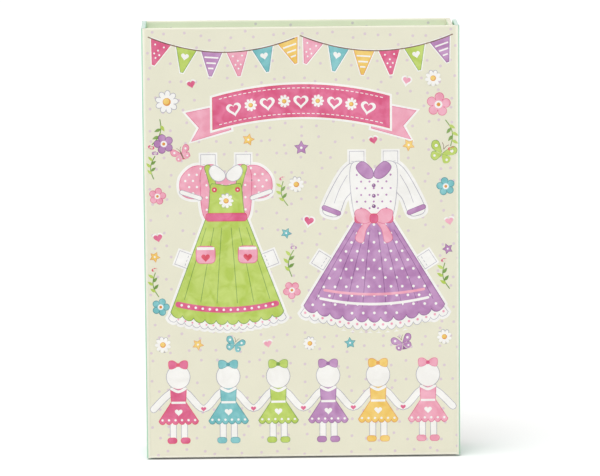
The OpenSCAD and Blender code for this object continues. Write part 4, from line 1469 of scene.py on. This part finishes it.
class DOLLBOX_OT_trimming_prints(PressOut, Operator):
    """Print the hat, the bag, the boots and the bow of the press-out sheet"""

    bl_idname = "dollbox.trimming_prints"
    bl_label = "Trimming prints"

    w, h = 22.3, 27.0

    def execute(self, context):
        low, high = box_mm("trimmings_sheet")
        designs = (("hat", self.hat), ("bag", self.bag), ("boots", self.boots), ("bow", self.bow))
        pitch = (high.x - low.x) / len(designs)
        for i, (node, design) in enumerate(designs):
            print_cloth(node, low.x + (i + 0.5) * pitch, (low.z + high.z - self.h) / 2, design)
        return {"FINISHED"}

    def hat(self, cloth):
        w, h = self.w, self.h
        crown = [p for p in ring(0, 0.5 * h, 0.35 * w, steps=40) if p[1] > 0.34 * h]
        cloth.inset(0, "sun", crown)
        cloth.inset(2, "sun", tapered((-0.42 * w, 0.3 * h), (0.42 * w, 0.3 * h), 0.085 * h, 0.0849 * h))
        cloth.add(4, "rose", bar(0, 0.43 * h, 0.6 * w, 2.2))
        daisy(cloth, 0.2 * w, 0.43 * h, 2.2, 5)

    def bag(self, cloth):
        w, h = self.w, self.h
        cloth.inset(0, "teal", pillow(0, 0.25 * h, 0.86 * w, 0.5 * h, 0.12 * w))
        angles = [math.pi * k / 16 for k in range(17)]
        handle = [(0.26 * w * math.cos(a), 0.53 * h + 0.26 * w * math.sin(a)) for a in angles]
        cloth.add(2, "sea", stroke(handle, 1.0), bar(0, 0.37 * h, 0.8 * w, 0.45))
        posy(cloth, 0, 0.2 * h, 3.2, "pink", 3)
        cloth.add(3, "sun", ring(0, 0.38 * h, 1.2, steps=14))

    def boots(self, cloth):
        w, h = self.w, self.h
        boot = self.sized((0.06, 0.1), (0.37, 0.1), (0.435, 0.13), (0.44, 0.2), (0.4, 0.235),
                          (0.27, 0.34), (0.27, 0.9), (0.06, 0.9))
        cloth.inset_pair(0, "rose", boot)
        cloth.pair(2, "white", bar(0.165 * w, 0.83 * h, 0.2 * w - 2 * cloth.cut_rim, 2.0))
        cloth.pair(2, "red", *(bar(0.165 * w, z * h, 2.4, 0.5) for z in (0.42, 0.5, 0.58, 0.66)))
        cloth.pair(2, "red", bar(0.23 * w, 0.142 * h, 0.33 * w - 2 * cloth.cut_rim, 0.8))

    def bow(self, cloth):
        w, h = self.w, self.h
        cloth.inset_pair(0, "pink", self.sized((0.02, 0.46), (0.14, 0.14), (0.34, 0.08), (0.14, 0.46)))
        r = 0.17 * h
        end = [(0.3 * w + r * math.cos(a), 0.5 * h + r * math.sin(a)) for a in (-1.5, -1, -0.5, 0, 0.5, 1, 1.5)]
        cloth.inset_pair(2, "pink", [(0, 0.44 * h)] + end + [(0, 0.56 * h)])
        dots = self.sized((0.2, 0.5), (0.32, 0.58), (0.32, 0.42))
        cloth.pair(4, "white", *(ring(x, z, 0.6, steps=10) for x, z in dots))
        knot_r = 0.11 * w - cloth.cut_rim
        cloth.add(5, "red", ring(0, 0.5 * h, knot_r, steps=20))
        cloth.add(6, "rose", ring(0, 0.5 * h, knot_r - 0.4, steps=20))


class DOLLBOX_OT_stand_prints(Operator):
    """Print grass and a flower row on the slotted stands"""

    bl_idname = "dollbox.stand_prints"
    bl_label = "Stand prints"

    rim = 0.9
    end_rim = 2.2
    slot_clear, slot_depth = 1.5, 8.0

    def execute(self, context):
        for node, petal in (("stands_bob", "pink"), ("stands_plaits", "teal")):
            low, high = box_mm(node)
            art = Print((low.x + high.x) / 2, low.z)
            half, rise = (high.x - low.x) / 2, high.z - low.z
            r = (half * half + rise * rise) / (2 * rise)
            inner = r - self.rim
            end, clear, slot_z = half - self.end_rim, self.slot_clear, rise - self.slot_depth
            xs = [end - (end - clear) * k / 12 for k in range(13)]
            arch = [(x, rise - r + math.sqrt(inner * inner - x * x)) for x in xs]
            shape = both_halves([(0, self.rim), (end, self.rim)] + arch + [(clear, slot_z), (0, slot_z)])
            art.add(0, "moss", shape)
            art.add(1, "lime", grown(shape, -0.4))
            for x, z in ((-14, 4.4), (-8.5, 5.6), (-3, 4.4), (3, 4.4), (8.5, 5.6), (14, 4.4)):
                posy(art, x, z, 2.2, petal, 2, x)
            art.lay(node + "_print", "box", low.y, "doll_card")
        return {"FINISHED"}


# Stage

class DOLLBOX_OT_stage(Operator):
    """Set up the floor, the lamp, the even light and the camera"""

    bl_idname = "dollbox.stage"
    bl_label = "Stage"

    frame_mm = 36.0
    clip_near, clip_far = 0.05, 60.0
    lamp_place = (-0.3, -1.4, 1.6)

    def execute(self, context):
        stage = settings("doll_stage")
        scene = context.scene
        deselect()
        bpy.ops.mesh.primitive_plane_add(size=stage.floor, location=(0, 0, -stage.floor_drop))
        floor = context.object
        floor.name = "floor"
        bpy.ops.object.transform_apply(location=True, rotation=True, scale=True)
        dress(floor, self.floor_paint(stage))

        deselect()
        bpy.ops.object.light_add(type="SUN", location=self.lamp_place)
        lamp = context.object
        lamp.name = "key_lamp"
        turn, height = stage.key_turn, stage.key_height
        towards = Vector((-math.sin(turn), -math.cos(turn), math.tan(height)))
        lamp.rotation_euler = towards.to_track_quat("Z", "Y").to_euler()
        lamp.data.energy = stage.key
        lamp.data.angle = stage.key_angle

        scene.world = self.even_light(stage)

        deselect()
        bpy.ops.object.camera_add()
        camera = context.object
        camera.name = "camera"
        camera.data.lens = stage.lens
        camera.data.sensor_width = self.frame_mm
        camera.data.clip_start = self.clip_near
        camera.data.clip_end = self.clip_far
        camera.matrix_world = (
            Matrix.Translation(stage.camera)
            @ Matrix.Rotation(stage.turn, 4, "Z")
            @ Matrix.Rotation(math.pi / 2 - stage.tilt, 4, "X")
            @ Matrix.Rotation(stage.roll, 4, "Z")
        )
        scene.camera = camera
        scene.view_settings.view_transform = "Standard"
        return {"FINISHED"}

    def floor_paint(self, stage):
        """Pale floor that is lifted to white for the camera and keeps its shadows."""
        finish = Finish("pale_floor")
        colour = finish.mix(finish.noise(3.0), (0.86, 0.86, 0.86, 1), (0.87, 0.87, 0.87, 1))
        finish.surface(colour, 0.9, 400.0, 0.02, 0.1)
        seen = finish.add("LightPath").outputs["Is Camera Ray"]
        glow = finish.math("MULTIPLY", seen, stage.floor_glow)
        finish.tree.links.new(glow, finish.shader.inputs["Emission Strength"])
        finish.shader.inputs["Emission Color"].default_value = (1, 1, 1, 1)
        return finish.material

    def even_light(self, stage):
        """White all round: plain white where it is seen, softer where it lights."""
        world = bpy.data.worlds.new("even_light")
        world.use_nodes = True
        tree = world.node_tree
        light = tree.nodes["Background"]
        light.inputs["Color"].default_value = (1, 1, 1, 1)
        light.inputs["Strength"].default_value = stage.sky
        seen = tree.nodes.new("ShaderNodeBackground")
        seen.inputs["Color"].default_value = (1, 1, 1, 1)
        seen.inputs["Strength"].default_value = 1.0
        path = tree.nodes.new("ShaderNodeLightPath")
        ray = path.outputs["Is Camera Ray"]
        for other in ("Is Glossy Ray", "Is Transmission Ray"):
            either = tree.nodes.new("ShaderNodeMath")
            either.operation = "MAXIMUM"
            tree.links.new(ray, either.inputs[0])
            tree.links.new(path.outputs[other], either.inputs[1])
            ray = either.outputs[0]
        blend = tree.nodes.new("ShaderNodeMixShader")
        tree.links.new(ray, blend.inputs[0])
        tree.links.new(light.outputs[0], blend.inputs[1])
        tree.links.new(seen.outputs[0], blend.inputs[2])
        tree.links.new(blend.outputs[0], tree.nodes["World Output"].inputs["Surface"])
        return world


STEPS = (
    DOLLBOX_OT_papers, DOLLBOX_OT_moving_folds, DOLLBOX_OT_fixed_folds, DOLLBOX_OT_magnet_marks,
    DOLLBOX_OT_bunting, DOLLBOX_OT_ribbon, DOLLBOX_OT_cover_pinafore, DOLLBOX_OT_cover_skirt,
    DOLLBOX_OT_cover_chain, DOLLBOX_OT_cover_scatter, DOLLBOX_OT_doll_prints, DOLLBOX_OT_garment_prints,
    DOLLBOX_OT_trimming_prints, DOLLBOX_OT_stand_prints, DOLLBOX_OT_stage,
)
GROUPS = (
    ("doll_papers", PaperSettings), ("doll_folds", FoldSettings),
    ("doll_inks", InkSettings), ("doll_stage", StageSettings),
)


class DOLLBOX_PT_sidebar(Panel):
    """Settings and steps of the paper doll box"""

    bl_idname = "DOLLBOX_PT_sidebar"
    bl_label = "Paper Doll Box"
    bl_space_type = "VIEW_3D"
    bl_region_type = "UI"
    bl_category = "Paper Doll Box"

    def draw(self, context):
        for name, group in GROUPS:
            column = self.layout.column(align=True)
            column.label(text=group.__doc__)
            for field in group.__annotations__:
                column.prop(getattr(context.scene, name), field)
        for step in STEPS:
            self.layout.operator(step.bl_idname)


def register():
    for name, group in GROUPS:
        bpy.utils.register_class(group)
        setattr(bpy.types.Scene, name, PointerProperty(type=group))
    for step in STEPS:
        bpy.utils.register_class(step)
    bpy.utils.register_class(DOLLBOX_PT_sidebar)


def unregister():
    bpy.utils.unregister_class(DOLLBOX_PT_sidebar)
    for step in reversed(STEPS):
        bpy.utils.unregister_class(step)
    for name, group in reversed(GROUPS):
        delattr(bpy.types.Scene, name)
        bpy.utils.unregister_class(group)


def main():
    register()
    bpy.ops.dollbox.papers()
    bpy.ops.dollbox.moving_folds()
    bpy.ops.dollbox.fixed_folds()
    bpy.ops.dollbox.magnet_marks()
    bpy.ops.dollbox.bunting()
    bpy.ops.dollbox.ribbon()
    bpy.ops.dollbox.cover_pinafore()
    bpy.ops.dollbox.cover_skirt()
    bpy.ops.dollbox.cover_chain()
    bpy.ops.dollbox.cover_scatter()
    bpy.ops.dollbox.doll_prints()
    bpy.ops.dollbox.garment_prints()
    bpy.ops.dollbox.trimming_prints()
    bpy.ops.dollbox.stand_prints()
    bpy.ops.dollbox.stage()


if __name__ == "__main__":
    main()
